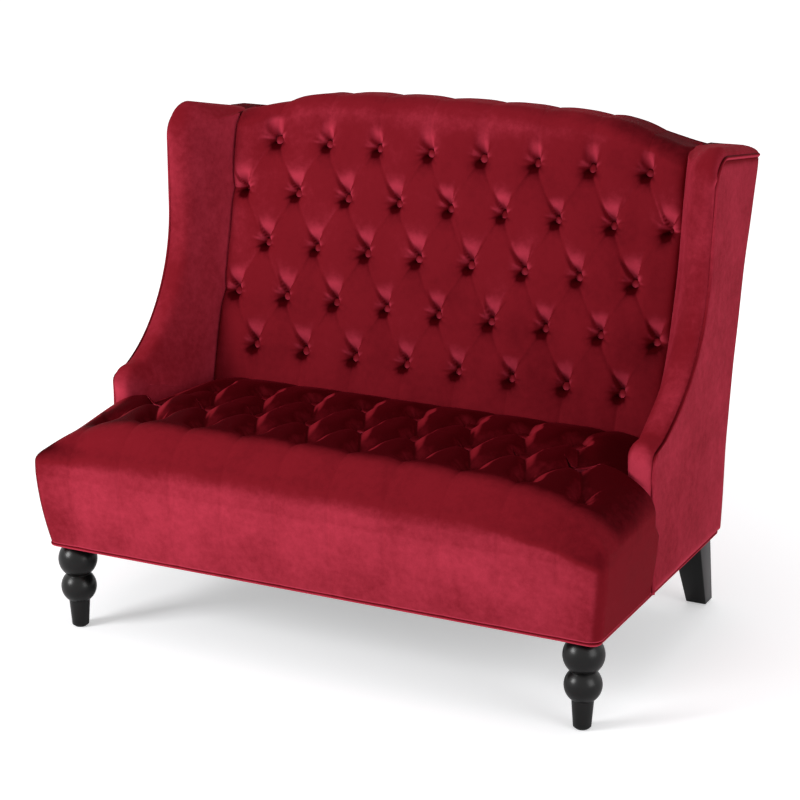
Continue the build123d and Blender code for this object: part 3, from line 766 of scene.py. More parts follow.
@dataclass(frozen=True)
class Mottled:
    """A rigid or plain woven finish with uneven colour."""

    name: str
    dark: Colour
    light: Colour
    scale: float = 20.0
    stretch: tuple[float, float, float] = (1.0, 1.0, 1.0)
    smooth: float = 0.4
    rough: float = 0.6
    bump: float = 0.4
    height: float = 0.0003
    metal: float = 0.0
    specular: float = 0.5

    def build(self, group: bpy.types.NodeTree) -> bpy.types.Material:
        """Makes the material.

        Args:
            group: The mottle group.

        Returns:
            The material.
        """
        values = {
            "Dark": self.dark,
            "Light": self.light,
            "Scale": self.scale,
            "Stretch": self.stretch,
            "Smooth": self.smooth,
            "Rough": self.rough,
        }
        own = {"Metallic": self.metal, "Specular IOR Level": self.specular}
        return finish_material(self.name, group, values, (self.bump, self.height), own)


LACQUER = Mottled(
    "black_lacquer",
    colour(5, 4, 4),
    colour(12, 11, 10),
    scale=30.0,
    stretch=(1.0, 1.0, 0.2),
    smooth=0.26,
    rough=0.36,
    height=0.0002,
    specular=0.3,
)
TIMBER = Mottled(
    "frame_timber",
    colour(150, 112, 70),
    colour(196, 160, 112),
    scale=18.0,
    stretch=(1.0, 0.15, 1.0),
    smooth=0.5,
    rough=0.7,
)
PLYWOOD = Mottled(
    "plywood",
    colour(166, 130, 88),
    colour(205, 172, 128),
    scale=14.0,
    stretch=(1.0, 1.0, 0.2),
    smooth=0.55,
    rough=0.75,
)
SPRING_STEEL = Mottled(
    "spring_steel",
    colour(70, 72, 76),
    colour(110, 112, 116),
    scale=60.0,
    smooth=0.25,
    rough=0.4,
    height=0.0001,
    metal=1.0,
)
ZINC_STEEL = Mottled(
    "zinc_steel",
    colour(150, 152, 150),
    colour(190, 192, 190),
    scale=80.0,
    smooth=0.25,
    rough=0.45,
    height=0.0001,
    metal=1.0,
)
DECK_CLOTH = Mottled("deck_cloth", colour(196, 190, 176), colour(222, 216, 204), scale=500.0)
BLACK_CLOTH = Mottled("black_cloth", colour(16, 16, 17), colour(34, 34, 36), scale=600.0)
WEBBING = Mottled("webbing", colour(176, 148, 102), colour(206, 180, 134), scale=400.0)
TWINE = Mottled("twine", colour(190, 176, 140), colour(226, 214, 182), scale=700.0)
PLASTIC = Mottled(
    "black_plastic", colour(14, 14, 15), colour(26, 26, 28), scale=90.0, smooth=0.35, rough=0.5
)

FRAME_FINISHES = {
    TIMBER: (
        "front_rail",
        "rear_rail",
        "side_rail",
        "seat_stretcher",
        "front_corner_post",
        "rear_corner_post",
        "back_post",
        "back_top_rail",
        "back_lower_rail",
        "back_upright",
    ),
    PLYWOOD: ("wing_panel",),
    SPRING_STEEL: ("seat_springs",),
    ZINC_STEEL: ("spring_clips", "leg_bolts", "tee_nuts", "frame_screws", "panel_screws"),
    DECK_CLOTH: ("deck_cloth",),
    WEBBING: ("back_webbing",),
    BLACK_CLOTH: ("dust_cover",),
    TWINE: ("seat_button_twine", "back_button_twine"),
    PLASTIC: ("foot_glides",),
}


class Finishes:
    """Every material of the settee."""

    def __init__(self) -> None:
        """Makes the materials."""
        mottle = Mottle().build()
        self.velvet = Velvet().build(CutPile().build())
        self.lacquer = LACQUER.build(mottle)
        self.hidden = {finish: finish.build(mottle) for finish in FRAME_FINISHES}
        self.twine = self.hidden[TWINE]

    def dress_frame(self, nodes: dict[str, bpy.types.Object]) -> None:
        """Gives each frame node that stays its own finish.

        Args:
            nodes: The frame's nodes by name.
        """
        kinds = {stem: self.hidden[finish] for finish, stems in FRAME_FINISHES.items() for stem in stems}
        for name, obj in nodes.items():
            stem = name.removesuffix("_left").removesuffix("_right")
            if stem in kinds:
                obj.data.materials.clear()
                obj.data.materials.append(kinds[stem])


# ---------------------------------------------------------------- tufting


@dataclass(frozen=True)
class Pleat:
    """A folded pleat on the flat sheet, from a button to another or to the sheet's edge.

    Its crease and the soft valley that it lies in are as deep as they say half way along.
    """

    start: Place
    end: Place
    crease: float
    valley: float
    between_buttons: bool = False


def edge_pleat(start: Place, end: Place, depth: float) -> Pleat:
    """A pleat that runs out from a button to the sheet's edge, with a crease less deep than its valley."""
    return Pleat(start, end, EDGE_CREASE * depth, depth)


@dataclass(frozen=True)
class Tufting:
    """Deep buttoning: rows of buttons, the pleats between them and the hollows round them.

    Sizes are in millimetres, on the flat sheet that the buttons are set out on. Rows step
    along the sheet's second axis, and the hollows reach furthest that way.
    """

    counts: tuple[int, ...]
    spacing: float
    step: float
    first: float
    sink: float
    seed: int
    reach_up: float
    reach_side: float
    reach_down: float
    valley_depth: float
    pleat_depth: float
    fold_depth: float
    fold_reach: float = 30.0
    valley_width: float = 24.0
    pleat_width: float = 3.2
    wrinkle: float = 0.9
    wrinkle_ring: float = 17.0
    wrinkle_spread: float = 9.0
    steepness: float = 1.55
    crispness: float = 0.07
    top_crispness: float = 0.4
    lower_reach: Zone = Zone(math.pi - 1.05, math.pi - 0.25)
    hollow_span: float = 110.0
    hollow_depth: float = 0.985
    hollow_tilt: float = 0.1
    hollow_sizes: Place = (0.88, 1.14)
    crease_edge: float = 1.1
    valley_gain: float = 0.6
    wrinkle_counts: tuple[int, int] = (7, 12)
    finer_wrinkle: float = 0.6
    finer_count: int = 6

    def rows(self) -> list[list[Place]]:
        """The buttons, row by row.

        Returns:
            The middle of each button of each row.
        """
        return [
            [((i - (count - 1) / 2) * self.spacing, self.first + row * self.step) for i in range(count)]
            for row, count in enumerate(self.counts)
        ]

    def buttons(self) -> np.ndarray:
        """The middle of each button, one row each."""
        return np.array([place for row in self.rows() for place in row])

    def pleats(self) -> list[Pleat]:
        """The pleats that run from a button to a neighbour in the next row.

        Returns:
            The pleats, row by row.
        """
        runs = []
        rows = self.rows()
        for here, there in zip(rows, rows[1:]):
            for start in here:
                for end in there:
                    if abs(abs(start[0] - end[0]) - self.spacing / 2) < 1:
                        runs.append(Pleat(start, end, self.pleat_depth, self.valley_depth, True))
        return runs

    def pleat_relief(self, x: np.ndarray, r: np.ndarray, pleat: Pleat) -> np.ndarray:
        """Depth of one folded pleat and of the soft valley that it lies in.

        Args:
            x: Places across the sheet.
            r: Places along the sheet.
            pleat: The pleat.

        Returns:
            The depth at each place.
        """
        way = np.array(pleat.end) - np.array(pleat.start)
        length = float(np.linalg.norm(way))
        way = way / length
        across, up = x - pleat.start[0], r - pleat.start[1]
        share = np.clip((across * way[0] + up * way[1]) / length, 0, 1)
        off = np.hypot(across - share * length * way[0], up - share * length * way[1])
        from_button = share * length
        if pleat.between_buttons:
            from_button = np.minimum(from_button, (1 - share) * length)
        fold = np.exp(-from_button / self.fold_reach)
        crease = np.exp(-((off / (self.pleat_width * (1 + fold))) ** self.crease_edge))
        valley = np.exp(-((off / self.valley_width) ** 2)) * (1 + self.valley_gain * fold)
        return (pleat.crease + self.fold_depth * fold) * crease + pleat.valley * valley

    def hollow_reach(self, swing: np.ndarray, softness: float) -> np.ndarray:
        """How far a button's hollow reaches, by the angle from straight up.

        Args:
            swing: The angle from straight up, in radians.
            softness: Half the angle over which the upper pocket ends.

        Returns:
            The reach at each angle.
        """
        pocket = math.atan2(self.spacing / 2, abs(self.step))
        up = 1 - smooth_step(swing, pocket - softness, pocket + softness)
        reach = self.reach_side + (self.reach_up - self.reach_side) * up
        return reach + (self.reach_down - self.reach_side) * self.lower_reach.at(swing)

    def depth(self, x: np.ndarray, r: np.ndarray, edges: list[Pleat]) -> np.ndarray:
        """How far the cover lies under its fullest surface.

        Args:
            x: Places across the sheet.
            r: Places along the sheet.
            edges: Pleats that run out from a button to the sheet's edge.

        Returns:
            The depth at each place.
        """
        keep = np.ones_like(x)
        for pleat in self.pleats() + edges:
            keep *= 1 - self.pleat_relief(x, r, pleat) / self.sink
        ripple = np.zeros_like(x)
        draw = np.random.default_rng(self.seed)
        top_row = max(row[0][1] for row in self.rows())
        for middle in self.buttons():
            away = np.hypot(x - middle[0], r - middle[1])
            near = away < self.hollow_span
            heading = np.arctan2(x[near] - middle[0], r[near] - middle[1])
            dist = away[near]
            tilt = draw.normal(0, self.hollow_tilt)
            swing = np.abs((heading - tilt + math.pi) % (2 * math.pi) - math.pi)
            size = draw.uniform(*self.hollow_sizes)
            softness = self.crispness if middle[1] < top_row - 1 else self.top_crispness
            reach = self.hollow_reach(swing, softness) * size
            keep[near] *= 1 - self.hollow_depth * np.exp(-((dist / reach) ** self.steepness))
            count = draw.integers(*self.wrinkle_counts)
            phase = draw.uniform(0, 2 * math.pi)
            swell = np.exp(-(((dist - self.wrinkle_ring) / self.wrinkle_spread) ** 2))
            wave = np.cos(count * heading + phase)
            wave += self.finer_wrinkle * np.cos((count + self.finer_count) * heading + 2 * phase)
            ripple[near] += self.wrinkle * swell * wave
        return self.sink * (1 - keep) + ripple


@dataclass(frozen=True)
class Button:
    """A fabric-covered button, in millimetres."""

    radius: float = 11.0
    height: float = 8.5
    dome: float = 4.2
    dome_shares: tuple[float, ...] = (0.35, 0.62, 0.84, 0.96)
    rim_drop: float = 4.83
    waist: Place = (10.67, 2.125)
    back: float = 8.8
    steps: int = 20

    def outline(self) -> list[Place]:
        """Radius and height of its outline, from its top to the middle of its back.

        Returns:
            The corners in order.
        """
        line = [(0.0, self.height)]
        for share in self.dome_shares:
            line.append((self.radius * share, self.height - self.dome * (1 - math.sqrt(1 - share**2))))
        return line + [(self.radius, self.height - self.rim_drop), self.waist, (self.back, 0.0), (0.0, 0.0)]

    def add_to(self, bm: bmesh.types.BMesh, place: Vector, out: Vector) -> None:
        """Adds the button to a mesh.

        Args:
            bm: The mesh that it joins.
            place: The middle of its back, in metres.
            out: The way that it faces.
        """
        form = turned_form(self.outline(), self.steps)
        turn = Vector((0, 0, 1)).rotation_difference(out).to_matrix().to_4x4()
        turn.translation = place
        bmesh.ops.transform(form, matrix=turn, verts=form.verts)
        mesh = bpy.data.meshes.new("button_form")
        form.to_mesh(mesh)
        form.free()
        bm.from_mesh(mesh)
        bpy.data.meshes.remove(mesh)


# ---------------------------------------------------------------- the settee's sub-assemblies


@dataclass
class Layout:
    """Sizes that several pieces share, in millimetres, taken from the frame where it has them."""

    half_width: float = field(init=False)
    front: float = field(init=False)
    rear: float = field(init=False)
    crest: float = field(init=False)
    skirt: float = field(init=False)
    base_half: float = field(init=False)
    base_inset: float = 16.0
    rake: float = math.radians(15.1)
    button_plane: Place = (288.0, 897.0)
    pillow: float = 30.0
    seam_x: float = 500.0
    seam_swell: float = 23.0
    seam_swell_zone: Place = (700.0, 930.0)
    arm_front_x: float = 542.0
    side_x: float = 590.0
    side_lean: float = math.radians(0.75)
    side_dip_heights: tuple[float, ...] = (180, 300, 430, 600, 775, 950)
    side_dips: tuple[float, ...] = (0, -5, -8, -4, -2, 3)
    side_dip_zone: Place = (-190.0, 60.0)
    leg_height: float = 180.0
    crest_fall: float = math.tan(0.085)
    crest_fall_from: float = 318.0
    crest_places: tuple[float, ...] = (0, 150, 320, 366, 412, 468, 525, 610)
    crest_drops: tuple[float, ...] = (0, 1.8, 8, 17.5, 30, 43.5, 54, 57)
    crest_pieces: int = 244
    crest_easing: int = 17
    wing_corners: tuple[Place, ...] = (
        (-106, 186),
        (-116, 400),
        (-116, 458),
        (-68, 470),
        (130, 568),
        (141, 966),
        (397, 931),
    )
    wing_radii: tuple[float, ...] = (80, 12, 60, 335, 46)
    rear_corners: tuple[Place, ...] = ((293, 186), (293, 380), (347, 760), (400, 935))
    rear_radii: tuple[float, ...] = (500, 500, 120)

    def __post_init__(self) -> None:
        """Takes the sizes that the frame has."""
        low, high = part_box("seat_cushion")
        self.half_width = high.x / MM
        self.front = low.y / MM
        self.skirt = low.z / MM
        self.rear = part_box("outside_back_cover")[1].y / MM
        self.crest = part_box("back_cushion")[1].z / MM
        self.base_half = self.half_width - self.base_inset

    def back_y(self, height: Number, out: Number) -> Number:
        """Y at a height on the plane that lies out in front of the button plane."""
        y0, z0 = self.button_plane
        return y0 + (height - z0) * math.tan(self.rake) - out / math.cos(self.rake)

    def back_place(self, x: float, r: float, out: float) -> Vector:
        """A place on the back.

        Args:
            x: Where it is across.
            r: How far up the rake it is from the top row of buttons.
            out: How far in front of the button plane it is.

        Returns:
            The place, in metres.
        """
        cosine, sine = math.cos(self.rake), math.sin(self.rake)
        y0, z0 = self.button_plane
        return Vector((x, y0 + r * sine - out * cosine, z0 + r * cosine + out * sine)) * MM

    def side_swell(self, height: Number) -> Number:
        """How much further forward the back pad comes beside the wings, high up."""
        return self.seam_swell * smooth_step(height, *self.seam_swell_zone)

    def crest_height(self, x: Number) -> Number:
        """Height of the arched top of the back.

        Args:
            x: Places across.

        Returns:
            The height at each place.
        """
        wide = np.linspace(0, self.crest_places[-1], self.crest_pieces + 1)
        raw = np.interp(wide, self.crest_places, self.crest_drops)
        half = self.crest_easing // 2
        window = np.hanning(self.crest_easing)
        spread = np.concatenate([raw[half:0:-1], raw, np.full(half, raw[-1])])
        eased = np.convolve(spread, window / window.sum(), mode="valid")
        return self.crest - np.interp(np.abs(x), wide, eased)

    def crest_top(self, x: Number, y: Number) -> Number:
        """Height of the back's top, which falls a little to the rear."""
        return self.crest_height(x) - self.crest_fall * np.maximum(y - self.crest_fall_from, 0.0)

    def wing_path(self, grow: float, step: float) -> np.ndarray:
        """The line up the arm's front, over the arm and wing, and back to the rear.

        Args:
            grow: How far outside that line to go.
            step: Distance between neighbouring points.

        Returns:
            The points in (Y, Z).
        """
        path = rounded_path(self.wing_corners, self.wing_radii, step)
        return path + left_normals(path) * grow

    def rear_path(self) -> np.ndarray:
        """The settee's rear edge from its foot to its top, in (Y, Z)."""
        top = (self.rear_corners[-1][0], self.crest)
        return rounded_path([*self.rear_corners, top], self.rear_radii, 3.0)

    def side_face(self, y: np.ndarray, z: np.ndarray) -> np.ndarray:
        """X of the right-hand outer side, which leans out and dips a little in front of the arm.

        Args:
            y: Y of the places.
            z: Their height.

        Returns:
            X at each place.
        """
        lean = self.side_x + (z - self.leg_height) * math.tan(self.side_lean)
        dip = np.interp(z, self.side_dip_heights, self.side_dips)
        return lean + dip * smooth_step(-y, *self.side_dip_zone)


@dataclass
class Back:
    """The tufted back pad with its buttons, in millimetres."""

    layout: Layout
    finishes: Finishes
    tufting: Tufting = Tufting(
        counts=(8, 9, 8, 9, 8),
        spacing=118.0,
        step=-108.6,
        first=0.0,
        sink=36.0,
        seed=5,
        reach_up=27.0,
        reach_side=9.0,
        reach_down=9.0,
        valley_depth=1.2,
        pleat_depth=1.0,
        fold_depth=7.0,
        fold_reach=18.0,
        wrinkle=0.5,
        steepness=1.75,
    )
    button: Button = Button()
    button_lift: float = 4.0
    foot: float = 285.0
    foam: float = 40.0
    roll: float = 46.0
    top_fall: float = 0.085
    top_end: float = 388.0
    least_top: float = 4.0
    swell_zone: Place = (400.0, 496.0)
    top_pleat: float = 5.0
    top_pleat_lean: float = 6.0
    edge_pleat: float = 4.0
    pleat_run: float = 400.0
    past_seam: float = 10.0
    top_calm: float = 0.45
    top_calm_zone: Place = (66.0, 140.0)
    rim_sink: float = 8.0
    rim_width: float = 6.0
    rim_zone: Place = (-95.0, -40.0)
    stuffing: Unevenness = Unevenness(1.6, 190.0, 11)
    top_thickness: float = 30.0
    top_rear: float = 385.0
    cover_gap: float = 14.0
    button_seed: int = 17
    button_tilts: Place = (0.12, 0.1)
    button_droop: float = 0.16
    # Painted shade on the back pad: an overall shift, darker to the right, random brushed patches of real
    # tone, darker towards the bottom, lighter towards the top, painted light on the crest's upward faces
    # fading out to the right, and painted shade in the pocket just under each button.
    shade_shift: float = 0.07
    shade_to_right: float = 0.00012
    brushed: Unevenness = Unevenness(0.05, 120.0, 61)
    darker_low: Zone = Zone(760.0, 430.0, 0.1)
    lighter_high: Zone = Zone(850.0, 980.0, -0.04)
    crest_light: Zone = Zone(930.0, 975.0, 0.62)
    crest_fade: Zone = Zone(200.0, 420.0, 0.6)
    pocket_shade: float = 0.7
    pocket_shade_middle: Place = (-3.0, -5.0)
    pocket_shade_size: Place = (9.0, 8.0)
    columns: int = 420
    rows: int = 330

    def section(self, x: np.ndarray, share: np.ndarray) -> tuple[np.ndarray, np.ndarray, np.ndarray]:
        """The pad's section at x, from its hidden foot up its face and over its top.

        Args:
            x: Places across.
            share: Places along the section, 0 at the foot and 1 at the rear of the top.

        Returns:
            Y, Z and the distance up the rake from the top row of buttons.
        """
        lay = self.layout
        cosine, sine = math.cos(lay.rake), math.sin(lay.rake)
        y0, z0 = lay.button_plane
        turn_end = math.pi / 2 - lay.rake + self.top_fall
        face_top_z = lay.crest_height(x) - self.roll * (1 - sine)
        face_low = (self.foot - z0 - lay.pillow * sine) / cosine
        face_top = (face_top_z - z0 - lay.pillow * sine) / cosine
        straight = face_top - face_low
        arc = self.roll * turn_end
        face_top_y = y0 + face_top * sine - lay.pillow * cosine
        arc_end_y = face_top_y + self.roll * (cosine + math.sin(self.top_fall))
        flat = np.maximum(self.top_end - arc_end_y, self.least_top)
        run = share * (straight + arc + flat)
        up_rake = np.minimum(run, straight) + face_low
        turn = lay.rake + np.clip((run - straight) / self.roll, 0, turn_end)
        beyond = np.maximum(run - straight - arc, 0)
        y = y0 + up_rake * sine - lay.pillow * cosine
        y = y + self.roll * (cosine - np.cos(turn)) + beyond * math.cos(self.top_fall)
        z = z0 + up_rake * cosine + lay.pillow * sine
        z = z + self.roll * (np.sin(turn) - sine) - beyond * math.sin(self.top_fall)
        return y, z, run + face_low

    def edge_pleats(self) -> list[Pleat]:
        """The pleats that run out to the crest, the foot and the sides.

        Returns:
            The pleats.
        """
        rows = self.tufting.rows()
        over = (self.top_pleat_lean, self.pleat_run)
        pleats = [edge_pleat((x, r), (x + over[0], r + over[1]), self.top_pleat) for x, r in rows[0]]
        pleats += [edge_pleat((x, r), (x, r - self.pleat_run), self.edge_pleat) for x, r in rows[-1]]
        side = self.layout.seam_x + self.past_seam
        for row in rows:
            if len(row) == max(self.tufting.counts):
                pleats.append(edge_pleat(row[0], (-side, row[0][1]), self.edge_pleat))
                pleats.append(edge_pleat(row[-1], (side, row[-1][1]), self.edge_pleat))
        return pleats

    def surface(self, across: np.ndarray, up: np.ndarray) -> np.ndarray:
        """The tufted front of the pad.

        Args:
            across: Shares across it.
            up: Shares up it.

        Returns:
            Its places.
        """
        lay = self.layout
        x = (across * 2 - 1) * lay.seam_x
        y, z, r = self.section(x, up)
        y = y - lay.side_swell(z) * smooth_step(np.abs(x), *self.swell_zone) / math.cos(lay.rake)
        depth = self.tufting.depth(x, r, self.edge_pleats())
        depth = depth * (1 - self.top_calm * smooth_step(r, *self.top_calm_zone))
        rim = np.exp((np.abs(x) - lay.seam_x) / self.rim_width)
        depth = depth + self.rim_sink * rim * smooth_step(-r, *self.rim_zone)
        return pressed(np.stack([x, y, z], axis=-1), depth + self.stuffing.at(x, r))

    def behind(self, place: Vector) -> Vector:
        """Where a corner of the pad's rim goes for its hidden back.

        Args:
            place: The corner, in metres.

        Returns:
            Its new place, in metres.
        """
        lay = self.layout
        if place.y > self.top_rear * MM:
            return place - Vector((0, 0, self.top_thickness * MM))
        deep = min(lay.rear - self.cover_gap, lay.back_y(place.z / MM, -self.foam))
        return Vector((place.x, deep * MM, place.z))

    def build(self) -> None:
        """Makes the pad and its buttons."""
        bm = grid_mesh(self.columns, self.rows, self.surface)
        close_behind(bm, self.behind)
        pad = new_piece("back_pad", bm, self.finishes.velvet)
        lay_nap_and_shade(pad, self.nap_and_shade)
        dress(pad, "back_cushion")
        lay = self.layout
        cosine, sine = math.cos(lay.rake), math.sin(lay.rake)
        out = lay.pillow - self.tufting.sink + self.button_lift
        caps = bmesh.new()
        draw = np.random.default_rng(self.button_seed)
        sideways, upwards = self.button_tilts
        for x, r in self.tufting.buttons():
            turn = draw.normal(0, sideways)
            facing = Vector((turn, -cosine, sine - self.button_droop + draw.normal(0, upwards)))
            self.button.add_to(caps, lay.back_place(x, r, out), facing.normalized())
        dress(new_piece("back_covered_buttons", caps, self.finishes.velvet), "back_buttons")

    def nap_and_shade(self, places: np.ndarray, normals: np.ndarray) -> np.ndarray:
        """Painted shade on the back: a dark pocket just under each button, painted light over the crest, and
        random brushed patches.

        Args:
            places: Where to look.
            normals: The pad's normals there.

        Returns:
            The painted shade at each place, more being darker.
        """
        x, z = places[:, 0], places[:, 2]
        lay = self.layout
        r = (z - lay.button_plane[1]) / math.cos(lay.rake)
        # Painted shade: a dark pocket just under each button.
        pocket_shaded = np.zeros_like(x)
        for middle in self.tufting.buttons():
            across = (x - middle[0] - self.pocket_shade_middle[0]) / self.pocket_shade_size[0]
            along_it = (r - middle[1] - self.pocket_shade_middle[1]) / self.pocket_shade_size[1]
            pocket_shaded += np.exp(-(across**2) - along_it**2)
        shade_shift = self.shade_shift + self.shade_to_right * x + self.brushed.at(x, z) + self.pocket_shade * pocket_shaded
        crest = np.maximum(normals[:, 2], 0) * self.crest_light.at(z) * (1 - self.crest_fade.at(x))
        return shade_shift + self.darker_low.at(z) + self.lighter_high.at(z) - crest


@dataclass
class Seat:
    """The tufted seat with its pleated front, in millimetres."""

    layout: Layout
    finishes: Finishes
    tufting: Tufting = Tufting(
        counts=(10, 9, 8),
        spacing=113.9,
        step=128.7,
        first=-274.0,
        sink=29.0,
        seed=8,
        reach_up=36.0,
        reach_side=21.0,
        reach_down=16.0,
        valley_depth=11.0,
        pleat_depth=3.0,
        fold_depth=6.0,
        valley_width=18.0,
    )
    button: Button = Button()
    button_lift: float = 1.0
    crown: float = 460.0
    side_crown_rise: float = 6.0
    middle_rise: float = 14.0
    rim: float = 335.0
    front_corners: tuple[Place, ...] = ((0, 388), (54, 449))
    crown_inset: float = 190.0
    rear_corners: tuple[Place, ...] = ((10, 455), (150, 408))
    front_radii: tuple[float, ...] = (76, 90, 500, 200)
    side_corners: tuple[Place, ...] = ((0, 382), (48, 425))
    side_crown_inset: float = 184.0
    side_radii: tuple[float, ...] = (60, 160, 500)
    inner_corners: tuple[Place, ...] = ((0, 396), (130, 456))
    inner_radii: tuple[float, ...] = (14, 300)
    line_step: float = 2.0
    front_flare: float = 22.0
    front_flare_zone: Place = (200.0, 380.0)
    side_flare: float = 16.0
    flare_start: float = 0.35
    flare_gain: float = 1.3
    nose_y: float = -138.0
    nose_blend: Place = (-4.0, 3.0)
    seam_y: float = 139.0
    deck: float = 292.0
    corner: float = 26.0
    top_blend: float = 30.0
    side_dip: float = 20.0
    dip_zone_x: Place = (330.0, 590.0)
    dip_zone_y: Place = (120.0, 340.0)
    dip_top: float = 410.0
    tuft_zone: Place = (392.0, 436.0)
    pleat_run: float = 400.0
    rear_pleat: float = 6.0
    front_pleat: float = 2.6
    stuffing: Unevenness = Unevenness(1.2, 210.0, 21)
    button_seed: int = 23
    button_tilt: float = 0.12
    button_droop: float = 0.1
    crease_depth: float = 1.9
    crease_width: float = 2.6
    crease_edge: float = 1.2
    fold_depth: float = 2.2
    fold_width: float = 20.0
    wall_pleat_zone: Place = (190.0, 390.0)
    wall_pleat_foot: float = 0.35
    wall_top: float = 60.0
    wall_turn: float = 30.0
    outer_x: float = 570.0
    tuck_zone: Place = (-34.0, -4.0)
    tuck_step: float = 3.2
    tuck_steps: int = 8
    under_half: float = 571.0
    under_front: float = -361.0
    tie_radius: float = 0.9
    tie_faces: int = 10
    # Painted shade and light on the seat: side faces, the front's ends, the foot of the front face and the
    # top darker, tops that lean forward lighter, a painted highlight on top faces turned to the left, and a
    # drifting painted shade edge along the front, above which the front rounding is held at one mid tone that
    # darkens to the right.
    side_facing: Zone = Zone(0.2, 0.95, 0.42)
    front_facing: Zone = Zone(0.25, 0.8)
    border_shade: Zone = Zone(480.0, 600.0, 0.14)
    darker_low: Zone = Zone(330.0, 180.0, 0.22)
    top_shade_shift: float = 0.1
    forward_light: float = 0.3
    left_facet_light: Zone = Zone(0.2, 0.5, 0.8)
    facet_light_end: Zone = Zone(340.0, 300.0)
    shade_places: tuple[float, ...] = (-600, -100, 300, 480, 600)
    shade_heights: tuple[float, ...] = (390, 401, 392, 362, 330)
    shade_drift: Unevenness = Unevenness(3.0, 160.0, 71)
    shade_edge: Zone = Zone(-9.0, 11.0)
    shade_front: Zone = Zone(290.0, 350.0)
    nose_drift: Unevenness = Unevenness(7.0, 45.0, 73)
    nose_zone: Zone = Zone(262.0, 316.0)
    rounding_shade: float = 0.36
    right_shade: Zone = Zone(250.0, 520.0, 0.1)
    columns: int = 480
    rows: int = 250
    wall_steps: int = 44

    def front_line(self) -> np.ndarray:
        """The seat's rounded front edge and top in (Y, Z), from its rim back.

        Returns:
            Its points.
        """
        front = self.layout.front
        lead = [(0, self.rim), *self.front_corners, (self.crown_inset, self.crown)]
        corners = [(front + inset, height) for inset, height in lead]
        return rounded_path([*corners, *self.rear_corners], self.front_radii, self.line_step)

    def side_line(self) -> np.ndarray:
        """The front part's rounded side and top in (X, Z), from the rim inwards.

        Returns:
            Its points.
        """
        half = self.layout.half_width
        crown = (self.side_crown_inset, self.crown + self.side_crown_rise)
        lead = [(0, self.rim), *self.side_corners, crown]
        corners = [(half - inset, height) for inset, height in lead]
        return rounded_path([*corners, self.middle()], self.side_radii, self.line_step)

    def inner_line(self) -> np.ndarray:
        """The rear part's side, tucked between the arms, and top in (X, Z).

        Returns:
            Its points.
        """
        half = self.inner_half()
        corners = [(half - inset, height) for inset, height in ((0, self.rim), *self.inner_corners)]
        return rounded_path([*corners, self.middle()], self.inner_radii, self.line_step)

    def middle(self) -> Place:
        """The highest place of the seat's top, midway between its sides, in (X, Z)."""
        return (0.0, self.crown + self.middle_rise)

    def inner_half(self) -> float:
        """Half the seat's width just behind the arms' fronts."""
        return self.layout.arm_front_x - 1

    def narrowing(self, y: Number) -> Number:
        """How much narrower the seat is between the arms than just behind their fronts."""
        half = self.inner_half()
        return np.interp(y, [self.nose_y, self.seam_y], [half, self.layout.seam_x + 2]) / half

    def dip(self, x: Number, y: Number) -> Number:
        """How much lower the top lies near its front corners."""
        return self.side_dip * smooth_step(np.abs(x), *self.dip_zone_x) * smooth_step(-y, *self.dip_zone_y)

    def surface(self, across: np.ndarray, up: np.ndarray) -> np.ndarray:
        """The tufted top, down to the rim where the walls begin.

        Args:
            across: Shares across it.
            up: Shares from its front to its rear.

        Returns:
            Its places.
        """
        lay = self.layout
        front = along(self.front_line(), up)
        y = front[..., 0]
        from_middle = np.abs(across * 2 - 1)
        outer = along(self.side_line(), 1 - from_middle)
        inner = along(self.inner_line(), 1 - from_middle)
        behind = smooth_step(y, self.nose_y + self.nose_blend[0], self.nose_y + self.nose_blend[1])
        reach = outer[..., 0] * (1 - behind) + inner[..., 0] * self.narrowing(y) * behind
        side_z = outer[..., 1] * (1 - behind) + inner[..., 1] * behind
        x = np.sign(across - 0.5) * reach
        z = soft_min(front[..., 1], side_z, self.top_blend)
        z = z - self.dip(x, y) * smooth_step(z, self.rim, self.dip_top)
        z = np.where(np.minimum(up, 1 - from_middle) < TINY, self.rim, z)
        sideways = np.clip((np.abs(x) - lay.half_width + self.corner) / self.corner, 0, 1)
        forwards = np.clip((lay.front + self.corner - y) / self.corner, 0, 1)
        x = x + np.sign(x) * self.corner * sideways * (np.sqrt(1 - forwards * forwards / 2) - 1)
        y = y - self.corner * forwards * (np.sqrt(1 - sideways * sideways / 2) - 1)
        depth = self.top_relief(x, y) * smooth_step(z, *self.tuft_zone)
        return pressed(np.stack([x, y, z], axis=-1), depth)

    def top_relief(self, x: np.ndarray, y: np.ndarray) -> np.ndarray:
        """How far the tufted top lies under its fullest surface.

        Args:
            x: Places across.
            y: Places from front to rear.

        Returns:
            The depth at each place.
        """
        rows = self.tufting.rows()
        edges = [edge_pleat((a, b), (a, b + self.pleat_run), self.rear_pleat) for a, b in rows[-1]]
        edges += [edge_pleat((a, b), (a, b - self.pleat_run), self.front_pleat) for a, b in rows[0]]
        return self.tufting.depth(x, y, edges) + self.stuffing.at(x, y)

    def top_height(self, x: float, y: float) -> float:
        """Height of the untufted top over a button.

        Args:
            x: The button's place across.
            y: Its place from front to rear.

        Returns:
            The height.
        """
        front = self.front_line()
        between_arms = y > self.nose_y
        side = (self.inner_line() if between_arms else self.side_line())[::-1]
        narrow = self.narrowing(y) if between_arms else 1.0
        over_y = np.interp(y, front[:, 0], front[:, 1])
        over_x = np.interp(abs(x) / narrow, side[:, 0], side[:, 1])
        return float(soft_min(over_y, over_x, self.top_blend) - self.dip(x, y))

